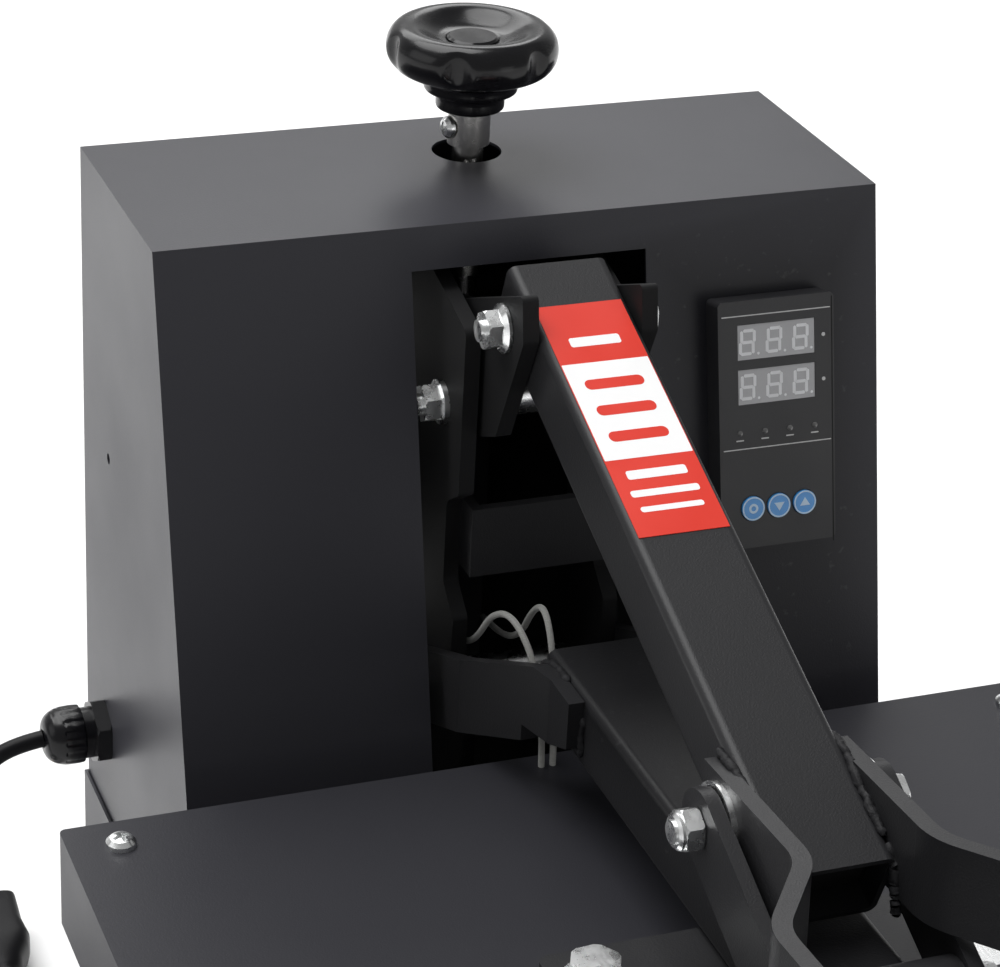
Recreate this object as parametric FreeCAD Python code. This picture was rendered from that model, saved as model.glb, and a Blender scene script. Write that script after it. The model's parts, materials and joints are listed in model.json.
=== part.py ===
"""Tabletop clamshell heat press, 15 x 15 inch, closed and locked.

Millimetres. +X is the operator's right, +Y points to the rear, +Z is up.
The origin is the middle of the footprint, on the table.
"""
import FreeCAD, Part
import os
from math import atan, atan2, cos, degrees, hypot, pi, radians, sin, tan

from FreeCAD import Placement, Rotation, Vector

# ---------------------------------------------------------------- driving dimensions
overall_depth = 620.0          # from the front of the grip to the heads of the rear screws
height = 390.0                 # top of the housing above the table
front_y = 201.0                # front edge of the housing top
housing_width = 283.0
housing_depth = 107.0          # at the top; the front leans, so the bottom is deeper
housing_lean = 0.239           # forward run of the front face for each mm down
seam_z = 112.0                 # top of the housing base
base_floor_z = 44.0            # top of the base rails
sheet = 1.2                    # folded sheet steel
opening_half = 46.0            # half the width of the front opening
opening_top_drop = 15.7        # the opening's top edge below the housing top

platen_width = 390.0
platen_depth = 390.0
platen_front_y = front_y - 463.0
cover_top_z = 205.0            # top of the upper platen's cover
cover_bottom_z = 167.0
press_z = 162.0                # hot face of the upper platen
plate_size = 380.0             # heater plate and lower platen are square

arm_width = 38.0               # steel box section 38 x 28 x 2, used twice
arm_tall = 28.0
arm_wall = 2.0
bar = 6.0                      # thickness of the yoke, fork, rocker and upright plates
link_bar = 5.0
upright_inner = 27.5           # inner faces of the uprights from the mid-plane
bolt_radius = 4.0              # M8 pivot bolts
pin_radius = 6.0               # M12 pivot pin, pressure screw and grip rod
platen_bolt_radius = 5.0       # M10
running = 0.08                 # radial clearance of the running fits
gap = 0.3                      # clearance between faces that pass each other
hex_across = 13.0              # M8 heads and nuts, across the flats
hex_thick = 5.3
washer_radius = 8.4
washer_thick = 2.0


def back_drop(back, drop):
    """Y and Z of a point given from the housing's front top edge."""
    return front_y + back, height - drop


main_pivot = back_drop(2.0, 191.0)
lever_pivot = back_drop(-46.0, 22.0)
link_top_pivot = back_drop(-248.0, 104.0)
link_low_pivot = back_drop(-313.0, 132.5)
rocker_pivot = back_drop(-8.0, 67.0)
screw_y = front_y + 66.0       # axis of the knob and the pressure screw
trunnion_z = height - 67.0
lever_tilt = 20.9              # degrees the closed lever slopes down towards the front
arm_top_z = height - 131.0
lean_angle = degrees(atan(housing_lean))

nodes = {}


# ---------------------------------------------------------------- helpers
def box(x0, x1, y0, y1, z0, z1):
    return Part.makeBox(x1 - x0, y1 - y0, z1 - z0, Vector(x0, y0, z0))


def rod(radius, start, end):
    start, end = Vector(*start), Vector(*end)
    return Part.makeCylinder(radius, (end - start).Length, start, end - start)


def x_rod(radius, x0, x1, point):
    return rod(radius, (x0, point[0], point[1]), (x1, point[0], point[1]))


def z_rod(radius, x, y, z0, z1):
    return rod(radius, (x, y, z0), (x, y, z1))


def join(*shapes):
    shapes = [s for group in shapes for s in (group if isinstance(group, list) else [group])]
    return shapes[0].multiFuse(shapes[1:]).removeSplitter() if len(shapes) > 1 else shapes[0]


def cut(shape, *tools):
    return shape.cut(list(tools)).removeSplitter()


def turned(shape, point, degrees_up):
    """Tilt about the X direction at a (y, z) point; positive raises the rear end."""
    copy = shape.copy()
    copy.rotate(Vector(0, point[0], point[1]), Vector(1, 0, 0), degrees_up)
    return copy


def mirrored(shape):
    return shape.mirror(Vector(0, 0, 0), Vector(1, 0, 0))


def rounded_wire(points, radii, place):
    """Closed outline with an arc at each corner; place() makes a 3-D point of a 2-D one."""
    count = len(points)
    if not isinstance(radii, (list, tuple)):
        radii = [radii] * count
    corners = [Vector(p[0], p[1], 0) for p in points]
    edges, starts, ends = [], [], []
    for i, corner in enumerate(corners):
        to_last = (corners[i - 1] - corner).normalize()
        to_next = (corners[(i + 1) % count] - corner).normalize()
        half = to_last.getAngle(to_next) / 2
        reach = radii[i] / tan(half)
        middle = corner
        if radii[i] > 0:
            inward = (to_last + to_next).normalize()
            middle = corner + inward * (radii[i] / sin(half) - radii[i])
        starts.append(corner + to_last * reach)
        ends.append(corner + to_next * reach)
        if radii[i] > 0:
            arc = [place(p) for p in (starts[i], middle, ends[i])]
            edges.append(Part.Arc(*arc).toShape())
    lines = []
    for i in range(count):
        first, second = ends[i], starts[(i + 1) % count]
        if (second - first).Length > 1e-6:
            lines.append(Part.LineSegment(place(first), place(second)).toShape())
    return Part.Wire(Part.__sortEdges__(edges + lines))


def side_plate(points, radii, x0, x1):
    """Plate with an outline in Y and Z, between two X positions."""
    wire = rounded_wire(points, radii, lambda p: Vector(x0, p.x, p.y))
    return Part.Face(wire).extrude(Vector(x1 - x0, 0, 0))


def flat_plate(points, radii, z0, z1):
    wire = rounded_wire(points, radii, lambda p: Vector(p.x, p.y, z0))
    return Part.Face(wire).extrude(Vector(0, 0, z1 - z0))


def rectangle(u0, u1, v0, v1):
    return [(u0, v0), (u1, v0), (u1, v1), (u0, v1)]


def turned_part(profile, centre, axis=Vector(0, 0, 1)):
    """Solid of revolution of (radius, height) points about an axis through the centre."""
    points = [Vector(r, 0, h) for r, h in profile]
    face = Part.Face(Part.makePolygon(points + points[:1]))
    solid = face.revolve(Vector(0, 0, 0), Vector(0, 0, 1), 360)
    solid.Placement = Placement(Vector(*centre), Rotation(Vector(0, 0, 1), axis))
    return solid


def hexagon(across_flats, thick, base, axis):
    """Hexagonal prism standing on its base point along an axis."""
    corner = across_flats / 2 / cos(pi / 6)
    points = [Vector(corner * cos(i * pi / 3), corner * sin(i * pi / 3), 0) for i in range(6)]
    solid = Part.Face(Part.makePolygon(points + points[:1])).extrude(Vector(0, 0, thick))
    blank = turned_part([(0, 0), (corner * 0.93, 0), (corner * 1.01, thick * 0.16),
                         (corner * 1.01, thick * 0.84), (corner * 0.93, thick), (0, thick)], (0, 0, 0))
    solid = solid.common(blank)
    solid.Placement = Placement(Vector(*base), Rotation(Vector(0, 0, 1), Vector(*axis)))
    return solid


def box_section(x_half, tall, wall, y0, y1, z_top, radius=3.5):
    """Square-cornered steel tube along Y with rounded corners, open at both ends."""
    def bar_of(inset, corner):
        outline = rectangle(-x_half + inset, x_half - inset, z_top - tall + inset, z_top - inset)
        wire = rounded_wire(outline, corner, lambda p: Vector(p.x, y0, p.y))
        return Part.Face(wire).extrude(Vector(0, y1 - y0, 0))
    return cut(bar_of(0, radius), bar_of(wall, radius - wall))


def pan_screw(radius, dome, base, axis, shank=0.0):
    """Pan head on its seat, with a cross recess; the shank goes the other way."""
    head = turned_part([(0, 0), (radius, 0), (radius * 0.96, dome * 0.45), (radius * 0.7, dome * 0.86),
                        (radius * 0.3, dome), (0, dome)], (0, 0, 0))
    slot = 0.16 * radius
    for turn in (0, 90):
        arm = box(-radius * 0.55, radius * 0.55, -slot, slot, dome * 0.45, dome + 1)
        arm.rotate(Vector(0, 0, 0), Vector(0, 0, 1), turn + 20)
        head = head.cut(arm)
    if shank:
        head = head.fuse(Part.makeCylinder(radius * 0.45, shank, Vector(0, 0, -shank)))
    head.Placement = Placement(Vector(*base), Rotation(Vector(0, 0, 1), Vector(*axis)))
    return head


def node(name, *shapes):
    """Keep a sub-part; several shapes stay separate solids."""
    solids = [solid for shape in shapes for solid in shape.Solids]
    nodes[name] = solids[0] if len(solids) == 1 else Part.makeCompound(solids)


def on_front(shape):
    """Lean a piece made against a vertical front so that it lies along the housing's front."""
    return turned(shape, (front_y, height), -lean_angle)


def front_face_y(z):
    return front_y - housing_lean * (height - z)


# ---------------------------------------------------------------- base
rail_x = 90.0                  # centre of each base rail from the mid-plane
rail_half = 20.0
rail_front_y = -276.0
rail_rear_y = 300.0
rail_low_z = 14.0              # the rubber feet are this tall
post_y = (-150.0, 30.0)
bearer_low_z = 117.7
bearer_tall = 30.0
platen_middle_y = platen_front_y + platen_depth / 2
plate_y = (platen_middle_y - plate_size / 2, platen_middle_y + plate_size / 2)


def make_base():
    rail_tall = base_floor_z - rail_low_z
    rail = box_section(rail_half, rail_tall, arm_wall, rail_front_y, rail_rear_y, base_floor_z)
    rails = [rail.translated(Vector(side * rail_x, 0, 0)) for side in (-1, 1)]
    cap_thick = 3.0
    caps = []
    for side in (-1, 1):
        for end, outward in ((rail_front_y, -1), (rail_rear_y, 1)):
            inner = end - outward * 8
            x0, x1 = side * rail_x - rail_half, side * rail_x + rail_half
            flange = box(x0, x1, min(end, end + outward * cap_thick), max(end, end + outward * cap_thick),
                         rail_low_z, base_floor_z)
            plug = box(x0 + 3, x1 - 3, min(inner, end), max(inner, end), rail_low_z + 3, base_floor_z - 3)
            caps.append(join(flange, plug))
    node("rail_end_caps", *caps)

    cross_half = rail_x - rail_half
    cross_tubes = []
    for y in (-200.0, 90.0):
        tube = box_section(15.0, 24.0, arm_wall, -cross_half, cross_half, rail_low_z + 27)
        tube.rotate(Vector(0, 0, 0), Vector(0, 0, 1), 90)
        cross_tubes.append(tube.translated(Vector(0, y, 0)))
    node("base_frame", *rails, *cross_tubes)

    foot_profile = [(0, 0), (15, 0), (17, 1.5), (18.5, 12), (18.5, rail_low_z), (0, rail_low_z)]
    feet = [turned_part(foot_profile, (side * rail_x, y, 0)) for side in (-1, 1) for y in (-248.0, 272.0)]
    node("rubber_feet", *feet)

    posts = []
    for side in (-1, 1):
        for y in post_y:
            outline = rectangle(side * rail_x - 15, side * rail_x + 15, y - 15, y + 15)
            core = rectangle(side * rail_x - 13, side * rail_x + 13, y - 13, y + 13)
            shell = flat_plate(outline, 3.0, base_floor_z, bearer_low_z)
            posts.append(cut(shell, flat_plate(core, 1.5, base_floor_z, bearer_low_z)))
    bearers = []
    for y in post_y:
        tube = box_section(20.0, bearer_tall, arm_wall, -150.0, 150.0, bearer_low_z + bearer_tall)
        tube.rotate(Vector(0, 0, 0), Vector(0, 0, 1), 90)
        bearers.append(tube.translated(Vector(0, y, 0)))
    node("stand_posts", *posts)
    node("platen_bearers", *bearers)

    half = plate_size / 2
    plate_low_z = bearer_low_z + bearer_tall
    pad_low_z = plate_low_z + 6.0
    outline = rectangle(-half, half, *plate_y)
    node("lower_platen", flat_plate(outline, 8.0, plate_low_z, pad_low_z))
    node("silicone_pad", flat_plate(outline, 8.0, pad_low_z, press_z - 0.2))


# ---------------------------------------------------------------- frame inside the housing
upright_front_y = front_y - 29.0
upright_rear_y = front_y + 97.0
floor_plate = 6.0
block_low_z = height - 38.0    # the block that carries the pressure screw
block_high_z = height - 18.0


def make_uprights():
    low_z = base_floor_z + floor_plate
    node("floor_plate", flat_plate(rectangle(-118.0, 118.0, 130.0, 298.0), 4.0, base_floor_z, low_z))

    # The front edge is relieved where the yoke swings past it when the press is open.
    relief_y = upright_front_y + 12.0
    points = [(upright_front_y, low_z), (upright_rear_y, low_z), (upright_rear_y, height - 7.0),
              (front_y + 62.0, height - 7.0), (upright_front_y, height - 30.0), (upright_front_y, 294.0),
              (relief_y, 286.0), (relief_y, 252.0), (upright_front_y, 242.0)]
    plate = side_plate(points, [0, 0, 6, 8, 4, 3, 5, 5, 3], upright_inner, upright_inner + bar)
    x0, x1 = upright_inner - 1, upright_inner + bar + 1
    plate = cut(plate, x_rod(pin_radius + running, x0, x1, main_pivot),
                x_rod(bolt_radius + running, x0, x1, rocker_pivot))
    node("right_upright", plate)
    node("left_upright", mirrored(plate))

    # The front plate is a channel: its flanges lie along the uprights' inner faces.
    plate_sheet = 4.0
    z0, z1 = arm_top_z, arm_top_z + arm_tall
    web = box(-upright_inner, upright_inner, upright_front_y, upright_front_y + plate_sheet, z0, z1)
    flange_rear_y = upright_front_y + 32.0
    flange = box(upright_inner - plate_sheet, upright_inner, upright_front_y, flange_rear_y, z0, z1)
    node("upright_front_plate", join(web, flange, mirrored(flange)))

    half_deep = 14.0
    block = box(-upright_inner, upright_inner, screw_y - half_deep, screw_y + half_deep,
                block_low_z, block_high_z)
    bore = z_rod(pin_radius + running, 0, screw_y, block_low_z - 1, block_high_z + 1)
    node("screw_block", cut(block, bore))

    outer = upright_inner + bar
    seat = outer + washer_thick
    nut_tall = 6.8
    bolt = x_rod(bolt_radius, -seat - nut_tall - 2.0, seat, rocker_pivot)
    washers = [cut(x_rod(washer_radius, side * outer, side * seat, rocker_pivot),
                   x_rod(bolt_radius, -60, 60, rocker_pivot)) for side in (-1, 1)]
    head = hexagon(hex_across, hex_thick, (seat, *rocker_pivot), (1, 0, 0))
    nut = cut(hexagon(hex_across, nut_tall, (-seat, *rocker_pivot), (-1, 0, 0)),
              x_rod(bolt_radius, -60, 60, rocker_pivot))
    node("rocker_pivot_bolt", join(bolt, head), nut, *washers)

    outer = upright_inner + 2 * bar + 2 * gap
    pin = x_rod(pin_radius, -outer - 4.0, outer + 4.0, main_pivot)
    groove_radius = 5.2
    grooves, clips = [], []
    for side in (-1, 1):
        ring = x_rod(pin_radius + 1, side * (outer + 1.2), side * (outer + 2.4), main_pivot)
        grooves.append(cut(ring, x_rod(groove_radius, -60, 60, main_pivot)))
        clip = x_rod(pin_radius + 3, side * (outer + 1.25), side * (outer + 2.35), main_pivot)
        clips.append(cut(clip, x_rod(groove_radius + 0.05, -60, 60, main_pivot)))
    node("main_pivot_pin", cut(pin, *grooves), *clips)


# ---------------------------------------------------------------- pressure screw, knob and rocker
knob_top_z = height + 51.7
knob_radius = 33.1
sleeve_radius = 8.2
rocker_inner = 19.5            # the rocker plates straddle the lever tube


def make_pressure_screw():
    collar_radius = 10.0
    low_face = block_low_z - gap
    high_face = block_high_z + gap
    collar_low = rod(collar_radius, (0, screw_y, low_face - 8.2), (0, screw_y, low_face))
    collar_high = rod(collar_radius, (0, screw_y, high_face), (0, screw_y, high_face + 8.7))
    shaft = rod(pin_radius, (0, screw_y, height - 96.0), (0, screw_y, height + 24.0))
    node("pressure_screw", join(shaft, collar_low, collar_high))

    sleeve = cut(z_rod(sleeve_radius, 0, screw_y, height + 5.0, height + 19.0),
                 z_rod(pin_radius, 0, screw_y, height, height + 30))
    screw_z = height + 12.0
    heading = radians(-172.0)
    outward = (cos(heading), sin(heading), 0)
    seat = (sleeve_radius * 0.97 * outward[0], screw_y + sleeve_radius * 0.97 * outward[1], screw_z)
    node("knob_sleeve", sleeve, pan_screw(4.4, 3.4, seat, outward))

    top = knob_top_z - height
    cap_radius = 10.2
    cap_seat = top - 6.5
    profile = [(pin_radius, 19.0), (12.6, 19.0), (13.4, 20.0), (13.4, 26.0), (17.4, 26.4), (18.4, 27.6),
               (18.4, 31.0), (24.0, 33.6), (29.0, 36.8), (32.2, 40.0), (knob_radius, 43.0),
               (knob_radius - 0.5, 46.4), (30.6, 49.8), (27.6, top - 0.3), (24.6, top), (20.0, top - 1.0),
               (14.0, top - 4.0), (cap_radius, top - 5.2), (cap_radius, cap_seat), (0, cap_seat),
               (0, 24.0), (pin_radius, 24.0)]
    knob = turned_part(profile, (0, screw_y, height))
    flute_radius = 7.5
    away = knob_radius + 5.0
    for i in range(6):
        angle = radians(-120.0 + 60.0 * i)
        x, y = away * cos(angle), screw_y + away * sin(angle)
        knob = knob.cut(z_rod(flute_radius, x, y, height + 30.0, height + 60.0))
    node("pressure_knob", knob)
    cap_profile = [(0, 0), (9.8, 0), (9.8, 1.4), (8.8, 2.2), (0, 2.2)]
    node("knob_cap", turned_part(cap_profile, (0, screw_y, height + cap_seat)))

    nut_half = rocker_inner - gap
    nut = x_rod(10.0, -nut_half, nut_half, (screw_y, trunnion_z))
    pins = x_rod(bolt_radius, -rocker_inner - bar + 0.5, rocker_inner + bar - 0.5, (screw_y, trunnion_z))
    thread = z_rod(pin_radius + running, 0, screw_y, trunnion_z - 20, trunnion_z + 20)
    node("trunnion_nut", cut(join(nut, pins), thread))


def make_rocker():
    outline = [back_drop(-61.5, 3.5), back_drop(-64.5, 20.5), back_drop(-42.5, 66.5),
               back_drop(-24.0, 75.0), back_drop(40.0, 82.0), back_drop(80.0, 80.0),
               back_drop(80.0, 54.0), back_drop(0.0, 30.0)]
    plate = side_plate(outline, [2, 3, 3, 4, 20, 10, 10, 20], rocker_inner, rocker_inner + bar)
    x0, x1 = rocker_inner - 1, rocker_inner + bar + 1
    pivot = x_rod(bolt_radius + running, x0, x1, rocker_pivot)
    trunnion = x_rod(bolt_radius + gap, x0, x1, (screw_y, trunnion_z))
    # The lever's bolt crosses a slot, because the rocker tilts a little while the bolt stays.
    away = Vector(0, lever_pivot[0] - rocker_pivot[0], lever_pivot[1] - rocker_pivot[1])
    across = Vector(0, -away.z, away.y).normalize()
    slot = [x_rod(bolt_radius + 0.5, x0, x1, lever_pivot).translated(across * step)
            for step in (-3, -1.5, 0, 1.5, 3)]
    plate = cut(plate, pivot, trunnion, join(slot))
    node("rocker_plates", plate, mirrored(plate))

    spacer = cut(x_rod(8.0, -rocker_inner, rocker_inner, rocker_pivot),
                 x_rod(bolt_radius + running, -30, 30, rocker_pivot))
    node("rocker_spacer", spacer)


# ---------------------------------------------------------------- housing
controller_x = 94.0
controller_drop = 37.6         # down the leaning front to the top of the bezel
bezel_width = 48.0
bezel_tall = 96.0
bezel_proud = 10.6
gland_y = front_y + 76.5
gland_z = height - 240.0
gland_reach = 26.0             # from the housing's side to the end of the dome nut
switch_y = front_y + 45.0
switch_z = 160.0


def housing_block(half_width, front_out, low_z, high_z, rear_y):
    points = [(front_face_y(low_z) - front_out, low_z), (rear_y, low_z), (rear_y, high_z),
              (front_face_y(high_z) - front_out, high_z)]
    return side_plate(points, 0, -half_width, half_width)


def make_housing():
    rear_y = front_y + housing_depth
    half = housing_width / 2
    shell = cut(housing_block(half, 0, seam_z - 6, height, rear_y),
                housing_block(half - sheet, -sheet, 0, height - sheet, rear_y + 50))
    opening = box(-opening_half, opening_half, 0, front_y + 20, 0, height - opening_top_drop)
    knob_hole = rod(13.5, (1, screw_y + 4, height - 20), (1, screw_y + 4, height + 10))
    middle = controller_x
    window = on_front(box(middle - 22.3, middle + 22.3, front_y - 20, front_y + 20,
                          height - controller_drop - bezel_tall + 2.7, height - controller_drop - 2.7))
    gland_hole = rod(8.0, (-half - 5, gland_y, gland_z), (-half + 5, gland_y, gland_z))
    side_hole = rod(2.2, (-half - 5, front_y + 67, height - 113), (-half + 5, front_y + 67, height - 113))
    switch_hole = box(half - 5, half + 5, switch_y - 9.6, switch_y + 9.6, switch_z - 13.6, switch_z + 13.6)
    node("housing_cover", cut(shell, opening, knob_hole, window, gland_hole, side_hole, switch_hole))

    # The base is a tray just outside the cover; its rear wall stands behind the cover's.
    proud = 1.5
    inner_rear = rear_y + 0.1
    low = cut(housing_block(half + proud, proud, base_floor_z, seam_z, inner_rear + sheet),
              housing_block(half + proud - sheet, proud - sheet, 0, seam_z + 10, inner_rear))
    node("housing_base", cut(low, box(-opening_half, opening_half, 0, 190, seam_z - 30, seam_z + 20)))

    panel_half = half - sheet - 0.3
    panel = box(-panel_half, panel_half, rear_y - sheet, rear_y, seam_z + 1, height - sheet - 0.3)
    for row in range(2):
        for step in range(9):
            x = -115 + 10 * step
            z = 190 + 110 * row
            outline = rectangle(x - 2.5, x + 2.5, z - 22, z + 22)
            wire = rounded_wire(outline, 2.4, lambda p: Vector(p.x, rear_y - 5, p.y))
            panel = panel.cut(Part.Face(wire).extrude(Vector(0, 10, 0)))
    lip = 12.0
    flange = box(panel_half - sheet, panel_half, rear_y - lip, rear_y - sheet, seam_z + 1,
                 height - sheet - 0.3)
    screw_at = [(side * (panel_half - 6), z) for side in (-1, 1) for z in (128.0, 250.0, 372.0)]
    holes = [rod(1.75, (x, rear_y - 5, z), (x, rear_y + 5, z)) for x, z in screw_at]
    node("rear_panel", cut(join(panel, flange, mirrored(flange)), *holes))

    screws = [pan_screw(3.6, 2.0, (x, rear_y, z), (0, 1, 0), 6.0) for x, z in screw_at]
    node("housing_screws", *screws)


def make_gland():
    wall_x = -housing_width / 2
    base = hexagon(24.0, 6.0, (wall_x, gland_y, gland_z), (-1, 0, 0))
    neck = turned_part([(0, -7.0), (7.9, -7.0), (7.9, 0), (10.4, 6.0), (10.4, 10.0), (0, 10.0)],
                       (wall_x, gland_y, gland_z), Vector(-1, 0, 0))
    bore = rod(cord_diameter / 2, (wall_x - 50, gland_y, gland_z), (wall_x + 50, gland_y, gland_z))
    gland = cut(join(base, neck), bore)

    start = 10.0
    profile = [(0, start), (12.0, start), (12.0, 19.0), (10.6, 22.6), (8.0, 25.0), (5.4, gland_reach),
               (0, gland_reach)]
    dome = turned_part(profile, (wall_x, gland_y, gland_z), Vector(-1, 0, 0))
    node("gland_dome_nut", cut(dome, bore))

    inner_x = wall_x + sheet
    lock = cut(hexagon(22.0, 5.0, (inner_x, gland_y, gland_z), (1, 0, 0)),
               rod(7.9, (inner_x - 5, gland_y, gland_z), (inner_x + 50, gland_y, gland_z)))
    node("cable_gland", gland, lock)


key_pitch = 10.8
key_radius = 4.7
key_drop = bezel_tall - 15.5


def make_controller():
    top = height - controller_drop
    x0, x1 = controller_x - bezel_width / 2, controller_x + bezel_width / 2
    points = rectangle(x0, x1, top - bezel_tall, top)
    wire = rounded_wire(points, 2.0, lambda p: Vector(p.x, front_y - bezel_proud, p.y))
    bezel = Part.Face(wire).extrude(Vector(0, bezel_proud, 0))
    windows, window_cuts = [], []
    for drop in (16.0, 33.2):
        z = top - drop
        window_cuts.append(box(controller_x - 16, controller_x + 16, front_y - bezel_proud - 1,
                               front_y - bezel_proud + 1.6, z - 6.8, z + 6.8))
        windows.append(box(controller_x - 15.9, controller_x + 15.9, front_y - bezel_proud + 0.2,
                           front_y - bezel_proud + 1.6, z - 6.7, z + 6.7))
    pockets = []
    for step in (-1, 0, 1):
        x = controller_x + step * key_pitch
        z = top - key_drop
        face_y = front_y - bezel_proud
        pockets.append(rod(key_radius + 0.3, (x, face_y - 1, z), (x, face_y + 4, z)))
    node("controller_bezel", on_front(cut(bezel, *window_cuts, *pockets)))
    node("display_windows", *[on_front(window) for window in windows])

    case = box(controller_x - 22, controller_x + 22, front_y + 0.05, front_y + 62.0,
               top - bezel_tall + 3.0, top - 3.0)
    node("controller_case", on_front(case))

    for step, name in ((-1, "set_key"), (0, "down_key"), (1, "up_key")):
        x = controller_x + step * key_pitch
        z = top - key_drop
        key = rod(key_radius, (x, front_y - bezel_proud - 0.8, z), (x, front_y - bezel_proud + 2.4, z))
        node(name, on_front(key))


def make_electrics():
    half = housing_width / 2
    frame = box(half, half + 1.8, switch_y - 11.5, switch_y + 11.5, switch_z - 15.5, switch_z + 15.5)
    body = box(half - 16, half, switch_y - 9.5, switch_y + 9.5, switch_z - 13.5, switch_z + 13.5)
    well = box(half - 12, half + 5, switch_y - 7.3, switch_y + 7.3, switch_z - 11.8, switch_z + 11.8)
    node("power_switch_frame", cut(join(frame, body), well))
    # The rocker's outer face is a shallow V, so either half can be pressed.
    points = [(half - 8, switch_z - 8.5), (half + 1.0, switch_z - 11.0), (half + 0.4, switch_z),
              (half + 3.6, switch_z + 10.2), (half - 8, switch_z + 8.5)]
    wire = rounded_wire(points, 0, lambda p: Vector(p.x, switch_y - 6.9, p.y))
    node("power_switch_rocker", Part.Face(wire).extrude(Vector(0, 13.8, 0)))

    low_z = base_floor_z + floor_plate
    node("solid_state_relay", box(-120.0, -75.0, 200.0, 225.0, low_z, low_z + 60.0))
    block = box(70.0, 112.0, 215.0, 237.0, low_z, low_z + 20.0)
    for step in range(4):
        block = block.cut(z_rod(3.0, 75.5 + 10.3 * step, 226.0, low_z + 12, low_z + 40))
    node("terminal_block", block)


# ---------------------------------------------------------------- arm and upper platen
yoke_inner = upright_inner + bar + gap
plate_x = 75.0                 # half width of the mounting plate
plate_front_y = front_y - 290.0
plate_rear_y = front_y - 226.0
arm_rear_y = front_y - 88.0
arm_front_y = front_y - 304.0
arm_low_z = arm_top_z - arm_tall
boss_half = 27.2               # half length of the boss that carries the links' lower pivot
platen_bolt_at = [(side * 62.0, y) for side in (-1, 1) for y in (front_y - 244.0, front_y - 275.0)]
cover_screw_at = [(side * 176.2, y) for side in (-1, 1) for y in (front_y - 88.0, front_y - 448.0)]
cover_screw_radius = 5.6
cover_screw_bore = 2.6


def make_arm():
    tube = box_section(arm_width / 2, arm_tall, arm_wall, arm_front_y, arm_rear_y, arm_top_z)
    boss = x_rod(11.0, -boss_half, boss_half, link_low_pivot)
    node("arm_tube", cut(join(tube, boss), x_rod(bolt_radius + 0.2, -60, 60, link_low_pivot)))

    # Each yoke bar leaves the tube's side, spreads past the upright and runs back to the pivot.
    half_thick = bar / 2
    side_x = arm_width / 2 + half_thick
    straight_x = yoke_inner + half_thick
    bend_y = front_y - 55.0
    spread_y = front_y - 106.0
    path = [(side_x, front_y - 124.0), (side_x, spread_y), (straight_x, bend_y),
            (straight_x, main_pivot[0] + 16.0)]
    left, right = offset_path(path, half_thick)
    outline = left + right[::-1]
    plan = flat_plate(outline, [0, 7, 7, 0, 0, 7, 7, 0], 0.0, height)
    slope = 0.445
    mid_z = main_pivot[1]
    ahead = 130.0
    tall = 31.0
    side = [(main_pivot[0] - ahead, mid_z + slope * ahead - tall / 2),
            (main_pivot[0] + 16.0, mid_z - slope * 16.0 - tall / 2),
            (main_pivot[0] + 16.0, mid_z - slope * 16.0 + tall / 2),
            (main_pivot[0] - ahead, mid_z + slope * ahead + tall / 2)]
    band = side_plate(side, [0, 12, 12, 0], -60.0, 60.0)
    under_top = box(-60, 60, -100, 300, arm_low_z + 1.0, arm_top_z - 1.0)
    behind = box(-60, 60, arm_rear_y - 4.0, 300, 0, height)
    bar_right = plan.common(band).common(join(under_top, behind))
    bar_right = cut(bar_right, x_rod(pin_radius + running, 0, 60, main_pivot))
    node("yoke_bars", bar_right, mirrored(bar_right))

    outline = rectangle(-plate_x, plate_x, plate_front_y, plate_rear_y)
    plate = flat_plate(outline, 4.0, arm_low_z - 6.0, arm_low_z)
    spacers = [z_rod(10.0, x, y, cover_top_z, arm_low_z - 3.0) for x, y in platen_bolt_at]
    bore = platen_bolt_radius + 0.2
    holes = [z_rod(bore, x, y, cover_top_z - 5, arm_low_z + 5) for x, y in platen_bolt_at]
    node("mount_plate", cut(join(plate, spacers), *holes))
    bolts = []
    for x, y in platen_bolt_at:
        washer = z_rod(10.5, x, y, arm_low_z, arm_low_z + washer_thick)
        head = hexagon(16.0, 6.4, (x, y, arm_low_z + washer_thick), (0, 0, 1))
        head.rotate(Vector(x, y, 0), Vector(0, 0, 1), 12.0 * (1 if x > 0 else -1) + y)
        shank = z_rod(platen_bolt_radius, x, y, press_z + 10.0, arm_low_z + 4.0)
        bolts.append(join(washer, head, shank))
    node("platen_bolts", *bolts)


def offset_path(points, distance):
    """Two lines of points beside a plan path, a distance to each side."""
    sides = ([], [])
    for i, (x, y) in enumerate(points):
        normals = []
        for j in (i - 1, i):
            if 0 <= j < len(points) - 1:
                dx, dy = points[j + 1][0] - points[j][0], points[j + 1][1] - points[j][1]
                size = hypot(dx, dy)
                normals.append((-dy / size, dx / size))
        nx = sum(n[0] for n in normals)
        ny = sum(n[1] for n in normals)
        scale = distance * len(normals) / (nx * nx + ny * ny)
        if len(normals) == 1:
            scale = distance
        for line, sign in zip(sides, (1, -1)):
            line.append((x + sign * nx * scale, y + sign * ny * scale))
    return sides


heater_thick = 18.0


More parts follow.
